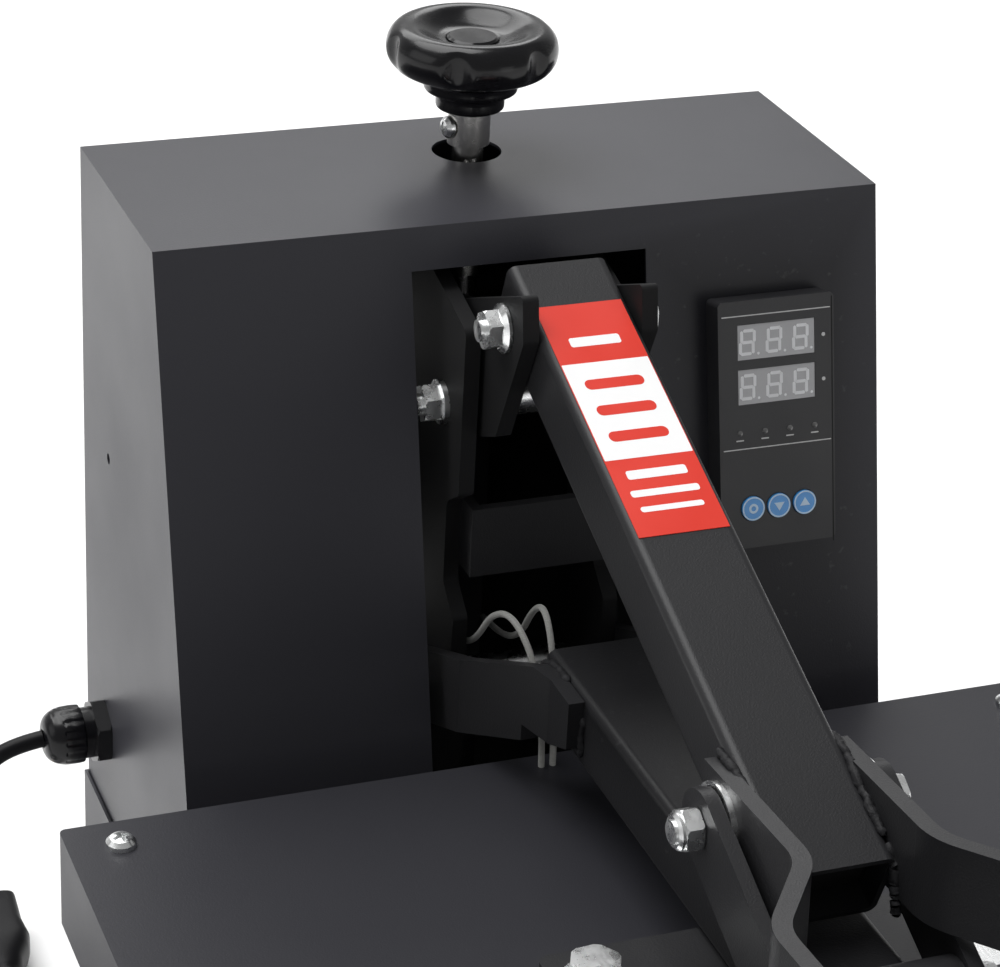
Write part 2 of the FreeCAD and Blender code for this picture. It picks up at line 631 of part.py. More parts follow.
def make_upper_platen():
    half = platen_width / 2
    y0, y1 = platen_front_y, platen_front_y + platen_depth
    outer = flat_plate(rectangle(-half, half, y0, y1), 2.5, cover_bottom_z, cover_top_z)
    inner = flat_plate(rectangle(-half + sheet, half - sheet, y0 + sheet, y1 - sheet), 1.5,
                       cover_bottom_z - 5, cover_top_z - sheet)
    low, high = cover_top_z - 5, cover_top_z + 5
    holes = [z_rod(cover_screw_bore, x, y, low, high) for x, y in cover_screw_at]
    holes += [z_rod(platen_bolt_radius + 0.2, x, y, low, high) for x, y in platen_bolt_at]
    node("platen_cover", cut(outer, inner, *holes))

    outline = rectangle(-plate_size / 2, plate_size / 2, *plate_y)
    heater_top = press_z + heater_thick
    post_radius = 7.0
    heater = flat_plate(outline, 8.0, press_z, heater_top)
    posts = [z_rod(post_radius, x, y, heater_top, cover_top_z - sheet) for x, y in cover_screw_at]
    bores = [z_rod(cover_screw_bore, x, y, press_z + 24.0, high) for x, y in cover_screw_at]
    bores += [z_rod(platen_bolt_radius, x, y, press_z + 10.0, high) for x, y in platen_bolt_at]
    node("heater_plate", cut(join(heater, posts), *bores))

    wool = flat_plate(outline, 8.0, heater_top, cover_top_z - sheet - 0.2)
    room = [z_rod(post_radius + 0.2, x, y, press_z, high) for x, y in cover_screw_at]
    room += [z_rod(platen_bolt_radius + gap, x, y, press_z, high) for x, y in platen_bolt_at]
    node("insulation_blanket", cut(wool, *room))

    screws = [pan_screw(cover_screw_radius, 3.6, (x, y, cover_top_z), (0, 0, 1), 16.0)
              for x, y in cover_screw_at]
    node("cover_screws", *screws)

    lead_radius = 1.7
    leads = []
    for x, lean in ((-15.5, -1.5), (-11.0, 1.0)):
        y = front_y - 80.5
        leads.append(rod(lead_radius, (x, y, cover_top_z + gap), (x + lean, y + 1.0, height - 141.0)))
    node("heater_leads", *leads)


# ---------------------------------------------------------------- lever, fork, grip and links
fork_inner = arm_width / 2
fork_spread = 43.5             # inner face of the fork after its bends
fork_tall = 30.0
fork_rise = 4.0                # degrees the fork rises towards the grip
grip_y = -overall_depth / 2 + 15.0
link_inner = arm_width / 2 + bar + 2.5
lever_behind = 238.8           # tube behind the link's upper pivot, along its slope
lever_ahead = 32.0
grip_radius = 15.0


def make_lever():
    y, z = link_top_pivot
    tube = box_section(arm_width / 2, arm_tall, arm_wall, y - lever_ahead, y + lever_behind,
                       z + arm_tall / 2)
    tube = turned(tube, link_top_pivot, lever_tilt)
    tube = cut(tube, x_rod(bolt_radius, -60, 60, link_top_pivot), x_rod(bolt_radius, -60, 60, lever_pivot))
    node("lever_tube", tube)

    half_thick = bar / 2
    near_x, far_x = fork_inner + half_thick, fork_spread + half_thick
    bend_start = front_y - 301.0
    bend_end = front_y - 334.0
    path = [(near_x, front_y - 234.0), (near_x, bend_start), (far_x, bend_end), (far_x, grip_y - 9.0)]
    left, right = offset_path(path, half_thick)
    fork_low_z = z + 1.0 - fork_tall / 2
    radii = [0, 20, 20 + bar, 0, 0, 20, 20 + bar, 0]
    plan = flat_plate(left + right[::-1], radii, fork_low_z, fork_low_z + fork_tall)
    plan = turned(plan, link_top_pivot, -fork_rise)
    grip_z = z + 1.0 + (y - grip_y) * tan(radians(fork_rise))
    right_bar = cut(plan, x_rod(bolt_radius, 0, 60, link_top_pivot),
                    x_rod(pin_radius, 0, 60, (grip_y, grip_z)))
    node("fork_bars", right_bar, mirrored(right_bar))

    grip_point = (grip_y, grip_z)
    outer = fork_spread + bar
    rod_solid = x_rod(pin_radius, -outer, outer, grip_point)
    heads = [turned_part([(0, 0), (9.0, 0), (9.0, 1.5), (6.5, 4.0), (0, 4.6)],
                         (side * outer, *grip_point), Vector(side, 0, 0)) for side in (-1, 1)]
    node("handle_rod", join(rod_solid, heads))
    sleeve = cut(x_rod(grip_radius, -fork_spread + gap, fork_spread - gap, grip_point),
                 x_rod(pin_radius, -60, 60, grip_point))
    node("handle_grip", sleeve)

    label_half = 16.5
    label_thick = 0.25
    top_z = z + arm_tall / 2
    label = box(-label_half, label_half, y + lever_behind - 132.0, y + lever_behind - 22.0, top_z,
                top_z + label_thick)
    node("lever_label", turned(label, link_top_pivot, lever_tilt))

    seat = rocker_inner + bar + 0.2
    bolt = x_rod(bolt_radius, -seat - 10.0, seat, lever_pivot)
    head = hexagon(hex_across, hex_thick, (seat, *lever_pivot), (1, 0, 0))
    flange = turned_part([(0, 0), (9.0, 0), (9.0, 1.2), (7.0, 2.8), (0, 2.8)],
                         (-seat, *lever_pivot), Vector(-1, 0, 0))
    nut = join(flange, hexagon(hex_across, 8.0, (-seat, *lever_pivot), (-1, 0, 0)))
    node("lever_pivot_bolt", join(bolt, head), cut(nut, x_rod(bolt_radius, -60, 60, lever_pivot)))

    outer = link_inner + link_bar + gap
    shank = x_rod(bolt_radius, -60, 60, link_top_pivot)
    head = hexagon(hex_across, hex_thick, (outer, *link_top_pivot), (1, 0, 0))
    bolt = join(x_rod(bolt_radius, -outer - 9.0, outer + 1.0, link_top_pivot), head)
    nut = join(hexagon(hex_across, 6.0, (-outer, *link_top_pivot), (-1, 0, 0)),
               turned_part([(0, 6.0), (6.2, 6.0), (6.2, 7.2), (5.2, 8.2), (0, 8.2)],
                           (-outer, *link_top_pivot), Vector(-1, 0, 0)))
    nut = cut(nut, shank)
    washer_x = fork_inner + bar
    wide_washer = 14.0
    washers = [cut(x_rod(wide_washer, side * washer_x, side * (washer_x + washer_thick), link_top_pivot),
                   shank) for side in (-1, 1)]
    node("link_pivot_bolt", bolt, nut, *washers)


def make_links():
    (y0, z0), (y1, z1) = link_top_pivot, link_low_pivot
    reach = hypot(y1 - y0, z1 - z0)
    end_radius = 12.5
    x0, x1 = link_inner, link_inner + link_bar
    strip = box(x0, x1, y0 - reach, y0, z0 - end_radius, z0 + end_radius)
    strip = turned(strip, link_top_pivot, degrees(atan2(z0 - z1, y0 - y1)))
    ends = [x_rod(end_radius, x0, x1, pivot) for pivot in (link_top_pivot, link_low_pivot)]
    blank = join(strip, ends)
    right = cut(blank, x_rod(bolt_radius + running, x0 - 1, x1 + 1, link_top_pivot),
                x_rod(bolt_radius, x0 - 1, x1 + 1, link_low_pivot))
    node("link_bars", right, mirrored(right))

    end_bolts = []
    seat = x1 + washer_thick
    for side in (-1, 1):
        shank = x_rod(bolt_radius, side * (boss_half + gap), side * seat, link_low_pivot)
        washer = x_rod(washer_radius, side * x1, side * seat, link_low_pivot)
        head = hexagon(hex_across, hex_thick, (side * seat, *link_low_pivot), (side, 0, 0))
        end_bolts.append(join(shank, washer, head))
    node("link_end_bolts", *end_bolts)


# ---------------------------------------------------------------- power cord
cord_diameter = 7.0
coil_centre = (-247.0, 288.5)
coil_inner_turn = 29.5         # radius of the innermost lower turn, at the cord's middle
coil_outer_turn = 43.7
coil_tall = 13.2               # two layers, the upper one lying between the lower turns
gland_exit = (-housing_width / 2 - gland_reach, gland_y, gland_z)
cord_route = [gland_exit, (-180.0, 277.4, 148.6), (-191.5, 277.0, 141.6), (-201.5, 276.3, 130.1),
              (-207.5, 275.3, 115.6), (-210.3, 274.0, 97.6), (-210.7, 272.8, 75.6), (-210.4, 272.4, 54.6),
              (-210.4, 277.6, 40.8), (-211.0, 287.2, 28.4), (-212.8, 300.1, 20.5), (-217.5, 312.0, 16.6)]
plug_x = -178.0
plug_z = 11.2                  # middle of the plug as it lies on its side
plug_face_y = 363.0
plug_head_long = 50.0
relief_long = 23.0
relief_y = plug_face_y - plug_head_long - relief_long
plug_lead_route = [(-241.0, 245.1, 3.5), (-225.0, 244.0, 3.5), (-208.2, 244.8, 3.5), (-194.3, 250.5, 4.0),
                   (-183.7, 261.1, 5.6), (plug_x, 275.0, 8.4), (plug_x, relief_y, plug_z)]


def rounded_path(points):
    """Straight runs joined by tangent arcs as large as the runs allow; returns wire and radii."""
    corners = [Vector(*p) for p in points]
    edges, radii = [], []
    start = corners[0]
    for i in range(1, len(corners) - 1):
        back = corners[i - 1] - corners[i]
        ahead = corners[i + 1] - corners[i]
        half_turn = (pi - back.getAngle(ahead)) / 2
        shorter = min(back.Length, ahead.Length)
        reach = 0.45 * shorter
        radius = reach / tan(half_turn)
        radii.append(radius)
        back.normalize()
        ahead.normalize()
        first = corners[i] + back * reach
        last = corners[i] + ahead * reach
        inward = (back + ahead).normalize()
        middle = corners[i] + inward * (radius / cos(half_turn) - radius)
        edges.append(Part.LineSegment(start, first).toShape())
        edges.append(Part.Arc(first, middle, last).toShape())
        start = last
    edges.append(Part.LineSegment(start, corners[-1]).toShape())
    return Part.Wire(edges), radii


def cord_tube(points, name):
    path, radii = rounded_path(points)
    direction = Vector(*points[1]) - Vector(*points[0])
    section = Part.Wire(Part.makeCircle(cord_diameter / 2, Vector(*points[0]), direction))
    tube = path.makePipeShell([section], True, False)
    expected = pi * cord_diameter ** 2 / 4 * path.Length
    print(name, "length %.1f" % path.Length, "volume ratio %.4f" % (tube.Volume / expected),
          "radii", [round(r, 1) for r in radii])
    return tube


def make_cord():
    node("power_cord", cord_tube(cord_route, "cord"))
    node("plug_lead", cord_tube(plug_lead_route, "plug lead"))
    outer = coil_outer_turn + cord_diameter / 2
    inner = coil_inner_turn - cord_diameter / 2
    middle_x, middle_y = coil_centre
    ring = cut(rod(outer, (middle_x, middle_y, 0), (middle_x, middle_y, coil_tall)),
               rod(inner, (middle_x, middle_y, -1), (middle_x, middle_y, coil_tall + 1)))
    node("cord_coil", ring)

    head_y = plug_face_y - plug_head_long
    relief = turned_part([(0, 0), (4.6, 0), (6.6, relief_long + 1), (0, relief_long + 1)],
                         (plug_x, relief_y, plug_z), Vector(0, 1, 0))
    outline = [(plug_x - 8, head_y), (plug_x + 8, head_y), (plug_x + 15, head_y + 16),
               (plug_x + 15, plug_face_y), (plug_x - 15, plug_face_y), (plug_x - 15, head_y + 16)]
    head = flat_plate(outline, [2, 2, 6, 3, 3, 6], plug_z - 11.0, plug_z + 11.0)
    node("mains_plug", join(relief, head))
    blades = [box(plug_x + x - 0.75, plug_x + x + 0.75, plug_face_y, plug_face_y + 17.0,
                  plug_z - 3.2, plug_z + 3.2) for x in (-6.35, 6.35)]
    earth = rod(2.4, (plug_x, plug_face_y, plug_z - 7.0), (plug_x, plug_face_y + 20.0, plug_z - 7.0))
    node("plug_pins", *blades, earth)


def main():
    os.makedirs("parts", exist_ok=True)
    make_base()
    make_uprights()
    make_pressure_screw()
    make_rocker()
    make_housing()
    make_gland()
    make_controller()
    make_electrics()
    make_arm()
    make_upper_platen()
    make_lever()
    make_links()
    make_cord()
    for name, shape in nodes.items():
        shape.exportStep("parts/%s.step" % name)
    print(len(nodes), "nodes")


main()
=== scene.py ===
"""Looks of the clamshell heat press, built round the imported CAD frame. Metres, +Z up, +Y to the rear."""
import json
import math
import random

import bmesh
import bpy
from mathutils import Matrix, Vector


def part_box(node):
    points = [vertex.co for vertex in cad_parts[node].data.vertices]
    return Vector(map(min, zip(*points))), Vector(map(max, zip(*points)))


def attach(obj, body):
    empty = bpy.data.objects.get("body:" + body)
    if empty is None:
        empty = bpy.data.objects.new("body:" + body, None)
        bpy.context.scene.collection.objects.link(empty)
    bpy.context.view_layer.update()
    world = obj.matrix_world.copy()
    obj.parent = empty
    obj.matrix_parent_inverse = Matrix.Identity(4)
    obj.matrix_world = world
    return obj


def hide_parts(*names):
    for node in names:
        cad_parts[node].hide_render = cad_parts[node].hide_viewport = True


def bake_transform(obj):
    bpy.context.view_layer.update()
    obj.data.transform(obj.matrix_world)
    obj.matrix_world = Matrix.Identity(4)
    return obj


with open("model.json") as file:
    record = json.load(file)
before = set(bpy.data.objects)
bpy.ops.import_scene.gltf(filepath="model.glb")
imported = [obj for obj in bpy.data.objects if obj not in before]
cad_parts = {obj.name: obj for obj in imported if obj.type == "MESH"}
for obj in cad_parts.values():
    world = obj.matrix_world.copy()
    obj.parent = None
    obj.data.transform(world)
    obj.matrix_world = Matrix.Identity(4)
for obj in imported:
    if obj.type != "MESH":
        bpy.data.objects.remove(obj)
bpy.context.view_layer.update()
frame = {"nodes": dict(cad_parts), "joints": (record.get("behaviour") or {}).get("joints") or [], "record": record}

nodes = frame["nodes"]
MM = 0.001


# ---------------------------------------------------------------- places taken from the frame
def joint(name):
    """The frame's joint of that name."""
    return next(j for j in frame["joints"] if j["name"] == name)


LEVER_PIVOT = Vector(joint("lever_hinge")["pos_m"])
LINK_PIVOT = Vector(joint("link_hinge")["pos_m"])
ROCKER_PIVOT = Vector(joint("rocker_tilt")["pos_m"])
KNOB_AXIS = Vector(joint("knob_spin")["pos_m"])


# ---------------------------------------------------------------- material building
FINE_RELIEF = 0.0002       # metres
COARSE_RELIEF = 0.0006


def material(name, color, roughness, metallic=0.0, **shader_values):
    """A principled material and its nodes and shader, ready for texture."""
    made = bpy.data.materials.new(name)
    made.use_nodes = True
    shader = made.node_tree.nodes["Principled BSDF"]
    shader.inputs["Base Color"].default_value = (*color, 1.0)
    shader.inputs["Roughness"].default_value = roughness
    shader.inputs["Metallic"].default_value = metallic
    for socket, value in shader_values.items():
        shader.inputs[socket.replace("_", " ")].default_value = value
    return made, made.node_tree, shader


def texture(tree, kind, scale, stretch=(1, 1, 1), **values):
    """A procedural texture in the object's own space; scale is per metre."""
    place = tree.nodes.new("ShaderNodeTexCoord")
    mapping = tree.nodes.new("ShaderNodeMapping")
    mapping.inputs["Scale"].default_value = stretch
    pattern = tree.nodes.new(kind)
    pattern.inputs["Scale"].default_value = scale
    for socket, value in values.items():
        pattern.inputs[socket].default_value = value
    tree.links.new(place.outputs["Object"], mapping.inputs["Vector"])
    tree.links.new(mapping.outputs["Vector"], pattern.inputs["Vector"])
    return pattern


def ramp(tree, source, stops):
    """Colour ramp on a value; stops are (position, colour or grey)."""
    node = tree.nodes.new("ShaderNodeValToRGB")
    elements = node.color_ramp.elements
    while len(elements) < len(stops):
        elements.new(0.5)
    for element, (position, value) in zip(elements, stops):
        element.position = position
        element.color = (*value, 1) if isinstance(value, tuple) else (value, value, value, 1)
    tree.links.new(source, node.inputs["Fac"])
    return node.outputs["Color"]


def mix(tree, factor, first, second):
    """Mix of two colours by an output; each colour may be an output or a plain one."""
    node = tree.nodes.new("ShaderNodeMix")
    node.data_type = "RGBA"
    for socket, value in (("Factor", factor), ("A", first), ("B", second)):
        kind = "VALUE" if socket == "Factor" else "RGBA"
        target = next(i for i in node.inputs if i.name == socket and i.type == kind)
        if isinstance(value, bpy.types.NodeSocket):
            tree.links.new(value, target)
        else:
            target.default_value = (*value, 1)
    return next(o for o in node.outputs if o.type == "RGBA")


def bump(tree, shader, height, strength, distance=FINE_RELIEF):
    """Relief on a shader from a height value; distance is the relief's depth in metres."""
    node = tree.nodes.new("ShaderNodeBump")
    node.inputs["Strength"].default_value = strength
    node.inputs["Distance"].default_value = distance
    tree.links.new(height, node.inputs["Height"])
    tree.links.new(node.outputs["Normal"], shader.inputs["Normal"])


def edge_wear_and_highlight(tree):
    """A mask that rises on convex edges, where Pointiness is over one half; it carries rubbed wear and a painted
    highlight.
    """
    geometry = tree.nodes.new("ShaderNodeNewGeometry")
    return ramp(tree, geometry.outputs["Pointiness"], [(0.53, 0.0), (0.60, 1.0)])


def painted(name, color, roughness, grain=0.25, specular=0.4):
    """Satin black powder coat: a fine orange peel, cloudy sheen and edges painted a little lighter, partly as
    rubbed wear and partly as a painted highlight.
    """
    made, tree, shader = material(name, color, roughness, Specular_IOR_Level=specular)
    cloud = texture(tree, "ShaderNodeTexNoise", 9.0, Detail=4.0)
    dust = texture(tree, "ShaderNodeTexNoise", 260.0, Detail=3.0)
    peel = texture(tree, "ShaderNodeTexNoise", 1500.0, Detail=2.0)
    lighter = tuple(min(1.0, c * 1.5 + 0.004) for c in color)
    tone = mix(tree, ramp(tree, cloud.outputs["Fac"], [(0.35, 0.0), (0.7, 1.0)]), color, lighter)
    dusty = ramp(tree, dust.outputs["Fac"], [(0.66, 0.0), (0.76, 0.35)])
    speck = mix(tree, dusty, tone, (0.10, 0.10, 0.10))
    # Convex edges painted lighter: partly rubbed wear, partly a painted highlight along the bends.
    worn_and_highlit = mix(tree, edge_wear_and_highlight(tree), speck, tuple(c * 2.2 + 0.01 for c in color))
    tree.links.new(worn_and_highlit, shader.inputs["Base Color"])
    sheen = ramp(tree, cloud.outputs["Fac"], [(0.3, roughness - 0.05), (0.75, roughness + 0.06)])
    tree.links.new(sheen, shader.inputs["Roughness"])
    bump(tree, shader, peel.outputs["Fac"], grain)
    return made


def plated(name, color, roughness, scratch=120.0, patchy=0.5):
    """Zinc-plated or turned steel: patchy gloss with fine scratches."""
    made, tree, shader = material(name, color, roughness, metallic=1.0)
    blotches = texture(tree, "ShaderNodeTexNoise", 240.0, Detail=4.0)
    lines = texture(tree, "ShaderNodeTexNoise", scratch, stretch=(6, 1, 12), Detail=5.0)
    darker = tuple(c * 0.72 for c in color)
    tone = mix(tree, ramp(tree, blotches.outputs["Fac"], [(0.35, 0.0), (0.75, patchy)]), color, darker)
    tree.links.new(tone, shader.inputs["Base Color"])
    spread = 0.3 + patchy
    smoothest, roughest = roughness * (1 - 0.4 * spread), roughness * (1 + 0.6 * spread)
    sheen = ramp(tree, blotches.outputs["Fac"], [(0.3, smoothest), (0.75, roughest)])
    tree.links.new(sheen, shader.inputs["Roughness"])
    bump(tree, shader, lines.outputs["Fac"], 0.12)
    return made


def moulded(name, color, roughness, grain_scale=900.0, grain=0.15, variation=1.25, **values):
    """Moulded plastic or rubber with a fine texture and slightly uneven tone."""
    made, tree, shader = material(name, color, roughness, **values)
    cloud = texture(tree, "ShaderNodeTexNoise", 35.0, Detail=3.0)
    fine = texture(tree, "ShaderNodeTexNoise", grain_scale, Detail=2.0)
    varied = tuple(min(1.0, c * variation) for c in color)
    tone = mix(tree, ramp(tree, cloud.outputs["Fac"], [(0.35, 0.0), (0.7, 1.0)]), color, varied)
    tree.links.new(tone, shader.inputs["Base Color"])
    sheen = ramp(tree, cloud.outputs["Fac"], [(0.3, roughness * 0.9), (0.7, min(1.0, roughness * 1.12))])
    tree.links.new(sheen, shader.inputs["Roughness"])
    bump(tree, shader, fine.outputs["Fac"], grain)
    return made


def knob_bakelite():
    """Polished phenolic moulding under a clear gloss, with a few faint handling marks."""
    made, tree, shader = material("knob_bakelite", (0.004, 0.004, 0.005), 0.2, Specular_IOR_Level=0.28,
                                  Coat_Weight=0.12, Coat_Roughness=0.08)
    marks = texture(tree, "ShaderNodeTexNoise", 70.0, stretch=(1, 1, 4), Detail=5.0)
    sheen = ramp(tree, marks.outputs["Fac"], [(0.4, 0.17), (0.75, 0.34)])
    tree.links.new(sheen, shader.inputs["Roughness"])
    flow = texture(tree, "ShaderNodeTexNoise", 30.0, Detail=2.0)
    bump(tree, shader, flow.outputs["Fac"], 0.05, COARSE_RELIEF)
    return made


def platen_aluminium():
    """Milled aluminium with fine straight tool marks."""
    made, tree, shader = material("platen_aluminium", (0.68, 0.68, 0.69), 0.34, metallic=1.0)
    lines = texture(tree, "ShaderNodeTexNoise", 90.0, stretch=(1, 30, 1), Detail=4.0)
    sheen = ramp(tree, lines.outputs["Fac"], [(0.3, 0.26), (0.7, 0.44)])
    tree.links.new(sheen, shader.inputs["Roughness"])
    tone = mix(tree, lines.outputs["Fac"], (0.60, 0.60, 0.61), (0.74, 0.74, 0.75))
    tree.links.new(tone, shader.inputs["Base Color"])
    bump(tree, shader, lines.outputs["Fac"], 0.10)
    return made


def fibre(name, color, scale, roughness=0.95):
    """Felted wool or braided sleeving."""
    made, tree, shader = material(name, color, roughness, Sheen_Weight=0.3)
    strands = texture(tree, "ShaderNodeTexNoise", scale, stretch=(1, 1, 3), Detail=8.0)
    tone = mix(tree, strands.outputs["Fac"], tuple(c * 0.7 for c in color), color)
    tree.links.new(tone, shader.inputs["Base Color"])
    bump(tree, shader, strands.outputs["Fac"], 0.6, COARSE_RELIEF)
    return made


MATERIALS = {
    "housing_paint": painted("housing_paint", (0.0125, 0.0125, 0.0158), 0.37, specular=0.265),
    "frame_paint": painted("frame_paint", (0.0040, 0.0040, 0.0047), 0.40, grain=0.4, specular=0.26),
    "platen_paint": painted("platen_paint", (0.0080, 0.0080, 0.0104), 0.42, specular=0.225),
    "zinc_plate": plated("zinc_plate", (0.88, 0.89, 0.89), 0.27),
    "turned_steel": plated("turned_steel", (0.60, 0.59, 0.57), 0.24, scratch=400.0, patchy=0.1),
    "platen_aluminium": platen_aluminium(),
    "silicone": moulded("silicone", (0.42, 0.06, 0.03), 0.62, grain_scale=500.0, grain=0.3, variation=1.12),
    "glass_wool": fibre("glass_wool", (0.78, 0.74, 0.62), 300.0),
    # The heater leads' sleeving is pale; its colour here is darkened to mid grey as painted shade for the shadow
    # they lie in.
    "braided_sleeving": fibre("braided_sleeving", (0.40, 0.40, 0.38), 900.0, 0.8),
    "knob_bakelite": knob_bakelite(),
    "black_plastic": moulded("black_plastic", (0.016, 0.016, 0.018), 0.42),
    "display_window": moulded("display_window", (0.36, 0.36, 0.375), 0.18, grain=0.02, variation=1.1,
                              Coat_Weight=0.5),
    "key_blue": moulded("key_blue", (0.05, 0.30, 0.72), 0.30, grain=0.05, variation=1.08,
                        Coat_Weight=0.3),
    "switch_red": moulded("switch_red", (0.45, 0.012, 0.010), 0.22, grain=0.03, Coat_Weight=0.4),
    "cord_rubber": moulded("cord_rubber", (0.004, 0.004, 0.005), 0.44, grain_scale=1400.0,
                           Specular_IOR_Level=0.15),
    "pin_brass": plated("pin_brass", (0.80, 0.58, 0.26), 0.24),
    "grip_foam": moulded("grip_foam", (0.016, 0.016, 0.017), 0.85, grain_scale=1300.0, grain=0.8),
    "foot_rubber": moulded("foot_rubber", (0.014, 0.014, 0.014), 0.75, grain=0.4),
    "label_film": moulded("label_film", (0.66, 0.028, 0.012), 0.35, grain_scale=400.0, grain=0.03,
                          variation=1.05),
}
LABEL_WHITE = moulded("label_white", (0.88, 0.88, 0.88), 0.35, grain_scale=400.0, grain=0.03,
                      variation=0.97)
PRINT_WHITE = moulded("print_white", (0.62, 0.62, 0.62), 0.55, grain=0.03, variation=0.95)
DIGIT_GREY = moulded("digit_grey", (0.78, 0.79, 0.81), 0.35, grain=0.03, variation=0.95)
GLOSS_BLACK = moulded("gloss_black", (0.003, 0.003, 0.004), 0.24, grain=0.03, Specular_IOR_Level=0.3)
KEY_RIM = moulded("key_rim", (0.55, 0.72, 0.88), 0.35, grain=0.03, variation=1.05)
LAMP_LENS = moulded("lamp_lens", (0.10, 0.10, 0.10), 0.15, grain=0.02, Coat_Weight=0.6)
WELD_PAINT = painted("weld_paint", (0.007, 0.007, 0.008), 0.62, grain=0.8, specular=0.2)
# Near-black paint for the parts deep inside the housing: painted shade, darker than the frame's own paint.
INNER_SHADE_PAINT = painted("inner_painted_shade", (0.0015, 0.0015, 0.0018), 0.60, specular=0.10)
# Lighter, bluish paint for the bevel faces of the housing cover and lever tube: a painted highlight along their
# edges.
PAINTED_EDGE_HIGHLIGHT = painted("painted_edge_highlight", (0.085, 0.095, 0.108), 0.32, specular=0.5)
# Near-black sheet material that stands for shade: inside the tube ends and beside the controller's bezel.
PAINTED_SHADE = moulded("painted_shade", (0.004, 0.004, 0.004), 0.8, grain=0.1)

# ---------------------------------------------------------------- looks of the CAD nodes
# Millimetres: how wide the nodes' softened edges are, and the plain sleeve's reach from the screw's axis.
SHARP = math.radians(35)
USUAL_EDGE = 0.3
EDGES = {"housing_cover": 0.9, "housing_base": 0.7, "platen_cover": 0.9, "rear_panel": 0.4, "fork_bars": 0.8,
         "link_bars": 0.6, "yoke_bars": 0.7, "rocker_plates": 0.5, "mount_plate": 0.6, "left_upright": 0.5,
         "right_upright": 0.5, "controller_bezel": 0.5, "silicone_pad": 1.0}
SLEEVE_REACH = 8.5


def soften(obj, width):
    """A small rounded edge, as a bend or a broken corner has."""
    modifier = obj.modifiers.new("edges", "BEVEL")
    modifier.width = width
    modifier.segments = 2
    modifier.limit_method = "ANGLE"
    modifier.angle_limit = SHARP


def finish_cad_nodes():
    """Every CAD node takes its slot's material, smooth curves and softened edges; a few take another look."""
    for part in frame["record"]["subparts"]:
        obj = nodes[part["node"]]
        obj.data.materials.clear()
        obj.data.materials.append(MATERIALS[part["material_slot"]])
        obj.data.shade_smooth()
        obj.data.set_sharp_from_angle(angle=SHARP)
        soften(obj, EDGES.get(part["node"], USUAL_EDGE) * MM)
    # The uprights and rocker plates inside the housing take a near-black paint as painted shade.
    for name in ("left_upright", "right_upright", "rocker_plates"):
        nodes[name].data.materials[0] = INNER_SHADE_PAINT
    # The bevel faces of these two take a lighter bluish paint, a painted highlight along the bent edges.
    for name in ("housing_cover", "lever_tube"):
        nodes[name].data.materials.append(PAINTED_EDGE_HIGHLIGHT)
        nodes[name].modifiers["edges"].material = 1
    nodes["cable_gland"].data.materials[0] = GLOSS_BLACK
    sleeve = nodes["knob_sleeve"]
    sleeve.data.materials.append(MATERIALS["zinc_plate"])
    for face in sleeve.data.polygons:
        centre = sleeve.matrix_world @ face.center
        if math.hypot(centre.x - KNOB_AXIS.x, centre.y - KNOB_AXIS.y) > SLEEVE_REACH * MM:
            face.material_index = 1


# ---------------------------------------------------------------- mesh building
def piece(name, vertices, faces, body, slot=None, look=None, smooth=True):
    """A mesh object that rides on a CAD body."""
    mesh = bpy.data.meshes.new(name)
    mesh.from_pydata([tuple(v) for v in vertices], [], faces)
    mesh.update()
    shape = bmesh.new()
    shape.from_mesh(mesh)
    bmesh.ops.recalc_face_normals(shape, faces=shape.faces)
    shape.to_mesh(mesh)
    shape.free()
    obj = bpy.data.objects.new(name, mesh)
    bpy.context.scene.collection.objects.link(obj)
    obj.data.materials.append(look or MATERIALS[slot])
    if smooth:
        mesh.shade_smooth()
        mesh.set_sharp_from_angle(angle=SHARP)
    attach(obj, body)
    return obj


def frame_to(centre, axis):
    """Matrix that carries +Z onto an axis at a point."""
    turn = Vector((0, 0, 1)).rotation_difference(Vector(axis).normalized()).to_matrix().to_4x4()
    return Matrix.Translation(Vector(centre)) @ turn


def lathe(profile, centre, axis, steps, shape=None):
    """Vertices and faces of a turned form of (radius, height) points.

    shape(angle, radius, height), where it is given, returns the radius to use there.
    """
    place = frame_to(centre, axis)
    vertices, faces = [], []
    for radius, height in profile:
        for i in range(steps):
            angle = 2 * math.pi * i / steps
            r = shape(angle, radius, height) if shape else radius
            vertices.append(place @ Vector((r * math.cos(angle), r * math.sin(angle), height)))
    for row in range(len(profile) - 1):
        for i in range(steps):
            j = (i + 1) % steps
            a, b = row * steps, (row + 1) * steps
            faces.append((a + i, a + j, b + j, b + i))
    faces.append(tuple(range(steps)))
    last = (len(profile) - 1) * steps
    faces.append(tuple(range(last, last + steps)))
    return vertices, faces


def rounded(points, steps=5):
    """Profile with its middle points rounded as short quadratic curves."""
    out = [Vector(points[0])]
    for before, corner, after in zip(points, points[1:], points[2:]):
        before, corner, after = Vector(before), Vector(corner), Vector(after)
        start, end = (before + corner) / 2, (corner + after) / 2
        for i in range(steps + 1):
            t = i / steps
            out.append(start * (1 - t) ** 2 + corner * 2 * t * (1 - t) + end * t * t)
    out.append(Vector(points[-1]))
    return [(p.x, p.y) for p in out]


